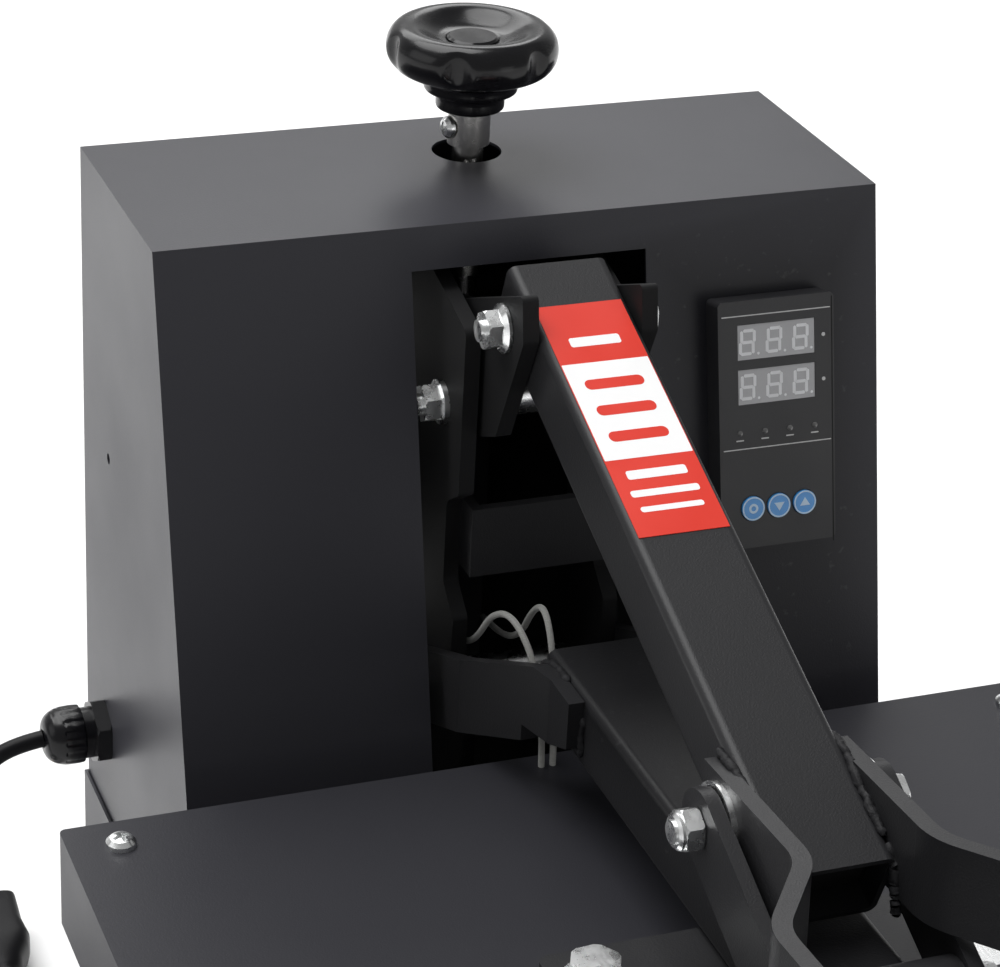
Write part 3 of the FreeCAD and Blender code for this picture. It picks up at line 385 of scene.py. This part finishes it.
def sweep(points, radius, sides, shape=None):
    """Vertices and faces of a tube along points; shape(i, side) may scale the radius."""
    points = [Vector(p) for p in points]
    vertices, faces = [], []
    up = Vector((0, 0, 1))
    for i, point in enumerate(points):
        ahead = (points[min(i + 1, len(points) - 1)] - points[max(i - 1, 0)]).normalized()
        steep = abs(ahead.z) >= 0.95
        side = ahead.cross(Vector((0, 1, 0)) if steep else up).normalized()
        above = side.cross(ahead)
        for k in range(sides):
            angle = 2 * math.pi * k / sides
            r = radius * (shape(i, k) if shape else 1.0)
            vertices.append(point + side * (r * math.cos(angle)) + above * (r * math.sin(angle)))
    for i in range(len(points) - 1):
        for k in range(sides):
            j = (k + 1) % sides
            a, b = i * sides, (i + 1) * sides
            faces.append((a + k, a + j, b + j, b + k))
    faces.append(tuple(range(sides)))
    last = (len(points) - 1) * sides
    faces.append(tuple(range(last, last + sides)))
    return vertices, faces


# ---------------------------------------------------------------- mains cord
# Places are millimetres. The route runs from the gland to the coil, and the plug lead from there to the plug.
CORD_DIAMETER = 7.0 * MM
CORD_ROUTE = [(-167.5, 277.5, 150.0), (-180.0, 277.4, 148.6), (-191.5, 277.0, 141.6),
              (-201.5, 276.3, 130.1), (-207.5, 275.3, 115.6), (-210.3, 274.0, 97.6),
              (-210.7, 272.8, 75.6), (-210.4, 272.4, 54.6), (-210.4, 277.6, 40.8),
              (-211.0, 287.2, 28.4), (-212.8, 300.1, 20.5), (-217.5, 312.0, 17.6)]
PLUG_LEAD_ROUTE = [(-241.0, 245.1, 3.5), (-225.0, 244.0, 3.5), (-208.2, 244.8, 3.5), (-194.3, 250.5, 4.0),
                   (-183.7, 261.1, 5.6), (-178.0, 275.0, 8.4), (-178.0, 290.0, 11.2)]
COIL_CENTRE = (-247.0, 288.5)
# The coil: (degrees turned to, radius, height) where the cord lands on it and at the end of each stretch.
COIL_START = (38.5, 37.7, 17.6)
COIL_STRETCHES = [(60, 38.6, 16.0), (95, 40.15, 10.8), (340, 40.15, 10.5), (395, 33.05, 10.5),
                  (700, 33.05, 10.5), (725, 29.8, 9.0), (765, 29.5, 3.5), (1010, 29.5, 3.5),
                  (1058, 36.6, 3.5), (1370, 36.6, 3.5), (1418, 43.7, 3.5), (1700, 43.7, 3.5)]
COIL_STEP = 18.0


def coil_points():
    """Control points of the coil's turns, between the end of the route and the start of the plug lead."""
    outward = 1 / 0.992        # the spline runs a little inside its control points
    last_angle, last_radius, last_height = COIL_START
    points = []
    for angle, radius, height in COIL_STRETCHES:
        count = max(1, round((angle - last_angle) / COIL_STEP))
        for i in range(1, count + 1):
            share = i / count
            turn = math.radians(last_angle + (angle - last_angle) * share)
            r = (last_radius + (radius - last_radius) * share) * outward
            z = last_height + (height - last_height) * share
            points.append((COIL_CENTRE[0] + r * math.cos(turn), COIL_CENTRE[1] + r * math.sin(turn), z))
        last_angle, last_radius, last_height = angle, radius, height
    return points


def make_cord():
    """The mains cord as one smooth curve, with its plug."""
    points = CORD_ROUTE + coil_points() + PLUG_LEAD_ROUTE
    curve = bpy.data.curves.new("mains_cord", "CURVE")
    curve.dimensions = "3D"
    curve.bevel_depth = CORD_DIAMETER / 2
    curve.bevel_resolution = 6
    curve.resolution_u = 10
    curve.use_fill_caps = True
    spline = curve.splines.new("NURBS")
    spline.points.add(len(points) - 1)
    for point, place in zip(spline.points, points):
        point.co = (*(c * MM for c in place), 1.0)
    spline.order_u = 3
    spline.use_endpoint_u = True
    curve.materials.append(MATERIALS["cord_rubber"])
    cord = bpy.data.objects.new("mains_cord", curve)
    bpy.context.scene.collection.objects.link(cord)
    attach(cord, "base")
    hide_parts("power_cord", "cord_coil", "plug_lead")
    plug = make_plug()
    tuple(c * MM for c in CORD_ROUTE[0])


# The plug's head from its relief to its face: shares of its length, width and height, and the exponent of its
# outline, which is 2 for an ellipse and more as the outline squares up.
PLUG_HEAD = ((0.03, 0.52, 0.62, 2.2), (0.12, 0.60, 0.78, 2.6), (0.25, 0.86, 0.94, 3.2), (0.38, 1.0, 1.0, 4.0),
             (0.60, 0.93, 1.0, 4.5), (0.80, 0.97, 1.0, 5.0), (0.97, 1.0, 1.0, 5.5), (1.0, 0.93, 0.92, 5.0))


def make_plug():
    """Moulded plug: a ribbed relief that widens into a waisted head with a flat face."""
    low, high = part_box("mains_plug")
    x, z = (low.x + high.x) / 2, (low.z + high.z) / 2
    half_wide, half_tall = (high.x - low.x) / 2, (high.z - low.z) / 2
    sections = []
    relief_end = low.y + 24.0 * MM
    relief_radius, relief_growth, groove, relief_rows = 4.5, 2.0, 0.86, 16
    for i in range(relief_rows + 1):
        share = i / relief_rows
        r = (relief_radius + relief_growth * share) * MM
        if i % 4 in (2, 3):
            r *= groove
        sections.append((low.y + (relief_end - low.y) * share, r, r, 2.0))
    for share, wide, tall, square in PLUG_HEAD:
        y = relief_end + (high.y - relief_end) * share
        sections.append((y, half_wide * wide, half_tall * tall, square))
    steps = 40
    vertices, faces = [], []
    for y, wide, tall, square in sections:
        for i in range(steps):
            angle = 2 * math.pi * i / steps
            c, s = math.cos(angle), math.sin(angle)
            vertices.append((x + wide * math.copysign(abs(c) ** (2 / square), c), y,
                             z + tall * math.copysign(abs(s) ** (2 / square), s)))
    for row in range(len(sections) - 1):
        for i in range(steps):
            j = (i + 1) % steps
            faces.append((row * steps + i, row * steps + j, (row + 1) * steps + j, (row + 1) * steps + i))
    faces.append(tuple(range(steps)))
    faces.append(tuple(range((len(sections) - 1) * steps, len(sections) * steps)))
    plug = piece("plug_body", vertices, faces, "base", "cord_rubber")
    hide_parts("mains_plug")
    return plug


# ---------------------------------------------------------------- pressure knob
def make_knob():
    """Six-lobed clamping knob, dished on top round its cap."""
    low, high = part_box("pressure_knob")
    radius = (high.x - low.x) / 2
    top = high.z
    rim_middle, rim_reach, rim_drop = 25.8, 7.3, 8.7
    dish_radius, dish_deep = 10.6, 5.3
    rim_rows, dish_rows = 24, 16
    profile = rounded([(6.1, -32.6), (11.5, -32.7), (13.2, -32.2), (13.4, -30.5), (13.4, -26.4),
                       (14.6, -25.7), (17.4, -25.4), (18.3, -24.6), (18.4, -22.0), (18.8, -20.4),
                       (22.5, -18.9), (26.5, -17.2)], 3)
    for step in range(rim_rows + 1):
        turn = math.radians(-70 + 160 * step / rim_rows)
        profile.append((rim_middle + rim_reach * math.cos(turn), rim_drop * (math.sin(turn) - 1)))
    for step in range(1, dish_rows + 1):
        share = step / dish_rows
        depth = dish_deep * (0.5 - 0.5 * math.cos(math.pi * share))
        profile.append((rim_middle + (dish_radius - rim_middle) * share, -depth))
    profile += [(10.3, -5.5), (10.2, -5.8), (10.1, -6.6), (0.05, -6.6)]
    widest = rim_middle + rim_reach
    profile = [(r / widest * radius, h * MM) for r, h in profile]
    flute_radius, away = 7.5 * MM, radius + 5.0 * MM
    first_flute, flute_turn = math.radians(-120), math.pi / 3
    bottom_of_rim, sharp = -21.7 * MM, 0.7 * MM

    def lobed(angle, r, height):
        """Six flutes cut the rim's side and fade out where it curves over the top."""
        across = (angle - first_flute) / flute_turn
        off = (across - round(across)) * flute_turn
        reach = away * math.sin(off)
        if r < 0.6 * radius or height < bottom_of_rim or abs(reach) >= flute_radius:
            return r
        limit = away * math.cos(off) - math.sqrt(flute_radius ** 2 - reach ** 2)
        return -sharp * math.log(math.exp(-r / sharp) + math.exp(-limit / sharp))

    vertices, faces = lathe(profile, (KNOB_AXIS.x, KNOB_AXIS.y, top), (0, 0, 1), 144, lobed)
    knob = piece("knob_moulding", vertices, faces, "knob", "knob_bakelite")
    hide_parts("pressure_knob")


# ---------------------------------------------------------------- thin pieces laid on a face
def patch(name, outline, thick, place, body, look):
    """A thin plate with a flat outline; place() carries (u, v, lift) to a point on its face."""
    count = len(outline)
    vertices = [place(u, v, 0.0) for u, v in outline] + [place(u, v, thick) for u, v in outline]
    faces = [tuple(range(count)), tuple(range(count, 2 * count))]
    faces += [(i, (i + 1) % count, count + (i + 1) % count, count + i) for i in range(count)]
    piece(name, vertices, faces, body, None, look, smooth=False)


def rounded_rectangle(u0, u1, v0, v1, radius, steps=5):
    """Outline of a rectangle with round corners."""
    points = []
    for cu, cv, start in ((u1 - radius, v1 - radius, 0), (u0 + radius, v1 - radius, 90),
                          (u0 + radius, v0 + radius, 180), (u1 - radius, v0 + radius, 270)):
        for i in range(steps + 1):
            angle = math.radians(start + 90 * i / steps)
            points.append((cu + radius * math.cos(angle), cv + radius * math.sin(angle)))
    return points


def circle(u, v, radius, steps):
    """Outline of a circle."""
    turns = [2 * math.pi * i / steps for i in range(steps)]
    return [(u + radius * math.cos(turn), v + radius * math.sin(turn)) for turn in turns]


def ring(name, u, v, inner, outer, thick, place, body, look):
    """A flat ring on a face."""
    steps = 28
    vertices, faces = [], []
    for i in range(steps):
        c, s = math.cos(2 * math.pi * i / steps), math.sin(2 * math.pi * i / steps)
        for radius, lift in ((inner, 0), (outer, 0), (outer, thick), (inner, thick)):
            vertices.append(place(u + radius * c, v + radius * s, lift))
    for i in range(steps):
        a, b = 4 * i, 4 * ((i + 1) % steps)
        faces += [(a + k, b + k, b + (k + 1) % 4, a + (k + 1) % 4) for k in range(4)]
    piece(name, vertices, faces, body, None, look)


# ---------------------------------------------------------------- controller face
FRONT_TILT = math.atan(0.239)
FRONT_EDGE = Vector((0, 0.201, 0.390))
BEZEL_MIDDLE, BEZEL_TOP, BEZEL_FACE = 94.0, 352.4, 190.4
PRINT_THICK, DIGIT_THICK = 0.05, 0.04
WINDOW_SINK, KEY_PROUD = 0.2, 0.8
KEY_DROP, KEY_PITCH = 80.5, 10.8
# Each segment of a digit: the side that it is on, its height, and whether it stands.
SEGMENTS = {"a": (0, 1, False), "d": (0, -1, False), "g": (0, 0, False), "b": (1, 0.5, True),
            "c": (1, -0.5, True), "e": (-1, -0.5, True), "f": (-1, 0.5, True)}


def on_front(u, v, lift):
    """A point on the bezel's face from millimetres right of its middle, down from its top and out."""
    flat = Vector((BEZEL_MIDDLE + u, BEZEL_FACE - lift, BEZEL_TOP - v)) * MM
    return Matrix.Rotation(-FRONT_TILT, 4, "X") @ (flat - FRONT_EDGE) + FRONT_EDGE


def on_window(u, v, lift):
    """A point on a display window, which lies a little under the bezel's face."""
    return on_front(u, v, lift - WINDOW_SINK)


def on_keys(u, v, lift):
    """A point on the caps of the keys, which stand proud of the bezel's face."""
    return on_front(u, v, lift + KEY_PROUD)


def segment_outline(u, v, standing):
    """A bar with pointed ends round a point, standing or lying."""
    half_long, half_wide = 1.9, 0.62
    if standing:
        tip = half_long + 0.45
        return [(u - half_wide, v - half_long), (u, v - tip), (u + half_wide, v - half_long),
                (u + half_wide, v + half_long), (u, v + tip), (u - half_wide, v + half_long)]
    tip = half_long + 0.4
    return [(u - half_long, v - half_wide), (u + half_long, v - half_wide), (u + tip, v),
            (u + half_long, v + half_wide), (u - half_long, v + half_wide), (u - tip, v)]


def make_displays():
    """Unlit digits with their points, and a dot beside each row."""
    digit_pitch, digit_shift, half_digit_wide, half_digit_tall, slant = 11.0, 0.9, 2.6, 4.4, 0.12
    for row, drop in enumerate((16.0, 33.2)):
        for digit in range(3):
            middle_u = (digit - 1) * digit_pitch - digit_shift
            for key, (across, up, standing) in SEGMENTS.items():
                lean = -slant * up * half_digit_tall
                outline = segment_outline(middle_u + across * half_digit_wide - lean,
                                          drop - up * half_digit_tall, standing)
                patch(f"digit_{row}{digit}{key}", outline, DIGIT_THICK, on_window, "base", DIGIT_GREY)
            dot = circle(middle_u + 4.5, drop + 4.6, 0.55, 12)
            patch(f"point_{row}{digit}", dot, DIGIT_THICK, on_window, "base", DIGIT_GREY)
        mark = circle(19.6, drop, 0.75, 16)
        patch(f"row_mark_{row}", mark, PRINT_THICK, on_front, "base", PRINT_WHITE)


def make_indicators():
    """Four small domed lamps with a short line under each."""
    outward = on_front(0, 0, 1) - on_front(0, 0, 0)
    profile = [(1.15 * MM, -0.2 * MM), (1.15 * MM, 0.25 * MM), (0.8 * MM, 0.6 * MM), (0.05 * MM, 0.75 * MM)]
    for i in range(4):
        u = -15.6 + 10.4 * i
        vertices, faces = lathe(profile, on_front(u, 50.8, 0.0), outward, 16)
        piece(f"indicator_{i}", vertices, faces, "base", None, LAMP_LENS)
        line = rounded_rectangle(u - 1.6, u + 1.6, 53.4, 53.9, 0.2, 3)
        patch(f"indicator_mark_{i}", line, PRINT_THICK, on_front, "base", PRINT_WHITE)


def make_key_marks():
    """A rim round each key, arrows on two of them and a ring on the other."""
    for step, body in ((-1, "set_key"), (0, "down_key"), (1, "up_key")):
        u, v = step * KEY_PITCH, KEY_DROP
        ring(f"{body}_rim", u, v, 4.05, 4.6, 0.12, on_keys, body, KEY_RIM)
        if step >= 0:
            tip = -2.0 if step else 2.0
            outline = [(u - 2.1, v - 0.6 * tip), (u + 2.1, v - 0.6 * tip), (u, v + tip)]
            patch(f"{body}_arrow", outline, 0.1, on_keys, body, KEY_RIM)
    ring("set_key_mark", -KEY_PITCH, KEY_DROP, 1.0, 1.9, 0.1, on_keys, "set_key", KEY_RIM)


def make_controller_face():
    """Printed lines, unlit digits, a painted shadow beside the bezel, indicator lamps and key marks, with no
    lettering.
    """
    for name, drop in (("upper_rule", 5.7), ("lower_rule", 57.0)):
        line = rounded_rectangle(-22.5, 22.5, drop - 0.2, drop + 0.2, 0.19)
        patch(name, line, PRINT_THICK, on_front, "base", PRINT_WHITE)
    make_displays()
    # A thin dark strip along the bezel's right side: a painted shadow where the bezel stands off the housing
    # front.
    groove = rounded_rectangle(22.9, 23.4, 1.5, 97.5, 0.24)
    patch("bezel_shadow_strip", groove, 0.03, on_front, "base", PAINTED_SHADE)
    make_indicators()
    make_key_marks()


# ---------------------------------------------------------------- lever label
LEVER_TILT = math.radians(20.9)
TUBE_TOP = 14.0
TUBE_REAR = 238.8
LABEL_THICK = 0.25


def on_lever(u, v, lift):
    """A point on the lever tube's upper face, millimetres right of its middle and down from its rear end."""
    along = (TUBE_REAR - v) * MM
    up = (TUBE_TOP + lift) * MM
    c, s = math.cos(LEVER_TILT), math.sin(LEVER_TILT)
    return LINK_PIVOT + Vector((u * MM, along * c - up * s, along * s + up * c))


def on_label(u, v, lift):
    """A point on the label's red film."""
    return on_lever(u, v, lift + LABEL_THICK)


def on_white_band(u, v, lift):
    """A point on the white band, which lies on the label's film."""
    return on_label(u, v, lift + PRINT_THICK)


def make_label():
    """Plain colour bands in place of the printed warning; short bars stand where its words were."""
    white_band = rounded_rectangle(-16.2, 16.2, 51.0, 97.0, 0.3)
    patch("label_white_band", white_band, PRINT_THICK, on_label, "lever", LABEL_WHITE)
    bars = [(9.5, 38.5, 43.0), (11.0, 102.5, 106.5), (12.5, 111.5, 114.5), (11.5, 119.0, 121.4)]
    for i, (half_wide, v0, v1) in enumerate(bars):
        bar = rounded_rectangle(-half_wide, half_wide, v0, v1, 1.0)
        patch(f"label_bar_{i}", bar, PRINT_THICK, on_label, "lever", LABEL_WHITE)
    stripe_pitch, half_stripe = 12.5, 2.4
    for i in range(3):
        v = 61.5 + stripe_pitch * i
        stripe = rounded_rectangle(-11.0, 11.0, v - half_stripe, v + half_stripe, 2.2)
        patch(f"label_stripe_{i}", stripe, 0.04, on_white_band, "lever", MATERIALS["label_film"])


# ---------------------------------------------------------------- welds, leads, gland and small fittings
def weld(name, corners, radius, body, seed):
    """A rippled bead, a little uneven, along a joint given as millimetre points."""
    chance = random.Random(seed)
    spacing, sides = 0.9 * MM, 12
    corners = [Vector(c) * MM for c in corners]
    points = []
    for start, end in zip(corners, corners[1:]):
        count = max(4, int((end - start).length / spacing))
        points += [start.lerp(end, i / count) for i in range(count)]
    points.append(corners[-1])
    drift = [Vector([chance.uniform(-1, 1) for _ in range(3)]) * radius * 0.10 * MM for _ in points]
    points = [point + (drift[i] + drift[i - 1] + drift[i - 2]) for i, point in enumerate(points)]
    last = len(points) - 1
    sizes = [[chance.uniform(0.93, 1.07) for _ in range(sides)] for _ in points]
    ends = {0: 0.4, 1: 0.8, last - 1: 0.8, last: 0.4}

    def bulge(i, k):
        """Close ripples over a slow swell, drawn in at the two ends."""
        ripple = 1.0 + 0.06 * math.cos(2 * math.pi * i / 3) + 0.12 * math.sin(0.37 * i + seed)
        return sizes[i][k] * ripple * ends.get(i, 1.0)

    vertices, faces = sweep(points, radius * MM, sides, bulge)
    bead = piece(name, vertices, faces, body, "frame_paint")
    bead.data.materials[0] = WELD_PAINT


def make_welds():
    """Beads where the bars meet the two tubes, on both sides."""
    beads = (
        ("yoke_rear_weld", "upper_arm", 1.7, [(20.2, 113.0, 254.0), (19.2, 104.0, 257.4),
                                              (19.2, 92.0, 257.8)]),
        ("yoke_end_weld", "upper_arm", 1.5, [(19.4, 77.0, 252.0), (19.4, 77.0, 236.0)]),
        ("fork_rear_weld", "lever", 1.9, [(19.8, -32.4, 301.0), (19.8, -32.4, 276.0)]),
        ("fork_top_weld", "lever", 1.7, [(19.6, -30.5, 302.6), (19.2, -44.0, 301.2), (18.2, -56.0, 297.6),
                                        (18.0, -74.0, 290.9)]),
        ("fork_front_weld", "lever", 1.9, [(18.2, -76.0, 289.4), (18.8, -81.0, 284.0), (18.8, -86.0, 268.0)]),
        ("plate_weld", "upper_arm", 1.8, [(19.6, -86.0, 231.8), (19.6, -60.0, 231.8)]),
    )
    for number, (name, body, radius, corners) in enumerate(beads):
        for side, word in ((-1, "left"), (1, "right")):
            path = [(side * x, y, z) for x, y, z in corners]
            weld(f"{name}_{word}", path, radius, body, 10 * number + side)


def make_tube_ends():
    """Painted shade: dark sheets a little way inside the open ends of the two tubes, where shade falls."""
    outline = rounded_rectangle(-16.9, 16.9, -11.9, 11.9, 1.4)

    def lever_end(at):
        """Places across the lever's tube, at millimetres behind the link pivot."""
        c, s = math.cos(LEVER_TILT), math.sin(LEVER_TILT)

        def place(u, v, lift):
            along = at + lift
            return LINK_PIVOT + Vector((u, along * c - v * s, along * s + v * c)) * MM
        return place

    def arm_end(u, v, lift):
        return Vector((u, 104.0 + lift, 245.0 + v)) * MM

    for name, place, body in (("lever_front_hollow_shade", lever_end(-22.0), "lever"),
                              ("lever_rear_hollow_shade", lever_end(228.0), "lever"),
                              ("arm_rear_hollow_shade", arm_end, "upper_arm")):
        patch(name, outline, 1.0, place, body, PAINTED_SHADE)


def make_leads():
    """Two pale sleeved heater leads that rise from the platen into the housing."""
    routes = (
        [(-15.5, 120.5, 204.0), (-15.8, 122.0, 226.0), (-17.0, 131.0, 246.0), (-20.0, 146.0, 256.0),
         (-23.0, 159.0, 250.0), (-24.5, 169.0, 234.0), (-24.5, 184.0, 224.0), (-24.0, 208.0, 221.0)],
        [(-11.0, 120.5, 204.0), (-11.0, 122.0, 228.0), (-10.0, 130.0, 250.0), (-9.0, 142.0, 260.0),
         (-8.0, 155.0, 252.0), (-8.0, 166.0, 235.0), (-8.0, 182.0, 225.0), (-8.0, 206.0, 221.0)],
    )
    lead_radius, sides, rows = 1.25 * MM, 10, 8
    for number, route in enumerate(routes):
        corners = [Vector(p) * MM for p in route]
        points = []
        for a, b, c in zip(corners, corners[1:], corners[2:]):
            for i in range(rows):
                t = i / rows
                points.append((a + b) / 2 * (1 - t) ** 2 + b * 2 * t * (1 - t) + (b + c) / 2 * t * t)
        points = [corners[0]] + points + [(corners[-2] + corners[-1]) / 2, corners[-1]]
        vertices, faces = sweep(points, lead_radius, sides)
        mesh = bpy.data.meshes.new(f"heater_lead_{number}")
        mesh.from_pydata([tuple(v) for v in vertices], [], faces)
        # The sleeving's mid grey is painted shade on pale sleeving.
        mesh.materials.append(MATERIALS["braided_sleeving"])
        mesh.shade_smooth()
        lead = bpy.data.objects.new(f"heater_lead_{number}", mesh)
        bpy.context.scene.collection.objects.link(lead)
        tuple(corners[-1])
        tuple(corners[1])
        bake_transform(lead)
        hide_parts("heater_leads")


def make_gland():
    """Ribbed, domed cable gland nut."""
    low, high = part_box("gland_dome_nut")
    centre = (high.x, (low.y + high.y) / 2, (low.z + high.z) / 2)
    profile = [(9.0, 0.0), (11.4, 0.2), (12.0, 0.9), (12.0, 7.4), (11.6, 9.0), (10.9, 11.4), (9.6, 13.6),
               (8.0, 15.0), (6.4, 15.7), (5.0, 16.0), (3.6, 16.0), (3.55, 14.0)]
    profile = [(r * MM, h * MM) for r, h in rounded(profile, 3)]
    ribs, rib_depth, rib_top = 16, 0.40 * MM, 8.4 * MM

    def ribbed(angle, r, height):
        """Grip ribs up to the start of the dome."""
        depth = rib_depth if height < rib_top else 0.0
        return r - depth * (0.5 - 0.5 * math.cos(ribs * angle)) ** 2

    vertices, faces = lathe(profile, centre, (-1, 0, 0), 128, ribbed)
    dome = piece("gland_dome", vertices, faces, "base", "black_plastic")
    dome.data.materials[0] = GLOSS_BLACK
    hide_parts("gland_dome_nut")


def make_grip():
    """Foam grip with softly rolled ends."""
    low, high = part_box("handle_grip")
    centre = (low + high) / 2
    full_long, radius = high.x - low.x, (high.z - low.z) / 2
    rows = 24
    bore, roll, dimple = 6.3 * MM, 4.0 * MM, 0.25 * MM
    profile = [(bore, 0.0), (radius - 3.5 * MM, 0.0), (radius - 0.4 * MM, 0.8 * MM), (radius, roll)]
    for i in range(1, rows):
        profile.append((radius - dimple * (i % 2), roll + (full_long - 2 * roll) * i / rows))
    profile += [(radius, full_long - roll), (radius - 0.4 * MM, full_long - 0.8 * MM),
                (radius - 3.5 * MM, full_long), (bore, full_long)]
    vertices, faces = lathe(rounded(profile, 2), (low.x, centre.y, centre.z), (1, 0, 0), 40)
    grip = piece("foam_grip", vertices, faces, "lever", "grip_foam")
    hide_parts("handle_grip")


def bolt_end(name, bolt, pivot, body):
    """The threaded left end of a bolt on a pivot: shallow thread rings and a chamfered tip."""
    low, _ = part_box(bolt)
    radius, skin, pitch, rings = 3.9 * MM, 0.12 * MM, 1.25 * MM, 4
    root = radius * 0.88
    profile = [(radius * 0.9, -pitch * rings)]
    for i in range(rings):
        base = -pitch * (rings - i)
        profile += [(root, base + 0.1 * pitch), (radius, base + 0.5 * pitch), (root, base + 0.9 * pitch)]
    profile += [(radius * 0.72, 0.0), (0.05 * MM, 0.05 * MM)]
    profile = [(r + skin, h) for r, h in profile]
    vertices, faces = lathe(profile, (low.x, pivot.y, pivot.z), (-1, 0, 0), 24)
    piece(name, vertices, faces, body, "zinc_plate")


def make_bolt_ends():
    """Threaded ends of the three bolts whose nuts show on the left."""
    bolt_end("lever_bolt_end", "lever_pivot_bolt", LEVER_PIVOT, "lever")
    bolt_end("link_bolt_end", "link_pivot_bolt", LINK_PIVOT, "lever")
    bolt_end("rocker_bolt_end", "rocker_pivot_bolt", ROCKER_PIVOT, "base")


# ---------------------------------------------------------------- stage, camera and light
def make_floor():
    """A plain pale floor."""
    size = 12.0
    mesh = bpy.data.meshes.new("floor")
    corners = [(-size, -size, 0), (size, -size, 0), (size, size, 0), (-size, size, 0)]
    mesh.from_pydata(corners, [], [(0, 1, 2, 3)])
    floor = bpy.data.objects.new("floor", mesh)
    bpy.context.scene.collection.objects.link(floor)
    mesh.materials.append(material("floor", (0.86, 0.86, 0.86), 0.85)[0])


def make_room_light():
    """A grey room, bright behind and above the press and darker in front of it."""
    world = bpy.data.worlds.new("studio")
    world.use_nodes = True
    bpy.context.scene.world = world
    tree = world.node_tree
    sky = tree.nodes["Background"]
    place = tree.nodes.new("ShaderNodeTexCoord")
    part = tree.nodes.new("ShaderNodeSeparateXYZ")
    tree.links.new(place.outputs["Generated"], part.inputs["Vector"])
    shade = ramp(tree, part.outputs["Y"], [(0.0, 0.62), (0.42, 0.40), (0.72, 1.0)])
    tree.links.new(shade, sky.inputs["Color"])
    sky.inputs["Strength"].default_value = 0.52


def lamp(name, kind, energy, direction, size, distance=2.2):
    """A lamp that shines on the press from a direction; size is metres, or a sun's angle."""
    data = bpy.data.lights.new(name, kind)
    data.energy = energy
    obj = bpy.data.objects.new(name, data)
    aim = Vector((0, 0, 0.2))
    towards = Vector(direction).normalized()
    obj.location = aim + towards * distance
    obj.rotation_mode = "QUATERNION"
    obj.rotation_quaternion = towards.to_track_quat("Z", "Y")
    if kind == "AREA":
        data.shape = "RECTANGLE"
        data.size, data.size_y = size
    else:
        data.angle = size
    obj.visible_camera = False
    bpy.context.scene.collection.objects.link(obj)


def make_camera():
    """The photograph's view, from the front left and above."""
    eye = bpy.data.cameras.new("camera")
    eye.lens = 111.56
    eye.sensor_width = 36.0
    eye.clip_start, eye.clip_end = 0.05, 40.0
    camera = bpy.data.objects.new("camera", eye)
    camera.location = (-0.39666, -0.77837, 0.81034)
    heading, down, roll = (math.radians(a) for a in (-21.76, 26.64, 3.05))
    turn = Matrix.Rotation(heading, 4, "Z") @ Matrix.Rotation(math.pi / 2 - down, 4, "X")
    turn = turn @ Matrix.Rotation(roll, 4, "Z")
    camera.rotation_mode = "QUATERNION"
    camera.rotation_quaternion = turn.to_quaternion()
    bpy.context.scene.collection.objects.link(camera)
    bpy.context.scene.camera = camera
    bpy.context.scene.view_settings.view_transform = "Standard"


def make_stage():
    """Floor, soft light from the left, the rear and above, a weak card at the front right, and the camera."""
    make_floor()
    make_room_light()
    lamp("left_softbox", "AREA", 4.0, (-1.0, 0.15, 0.42), (1.4, 1.0))
    lamp("rear_softbox", "AREA", 16.0, (0.1, 1.0, 0.75), (2.0, 0.8), 2.6)
    lamp("top_fill", "SUN", 3.0, (-0.25, 0.3, 1.0), math.radians(50))
    lamp("right_card", "AREA", 0.35, (0.50, -0.80, 0.20), (0.4, 0.4), 1.05)
    make_camera()


make_stage()
finish_cad_nodes()
make_cord()
make_knob()
make_controller_face()
make_label()
make_welds()
make_tube_ends()
make_leads()
make_gland()
make_grip()
make_bolt_ends()
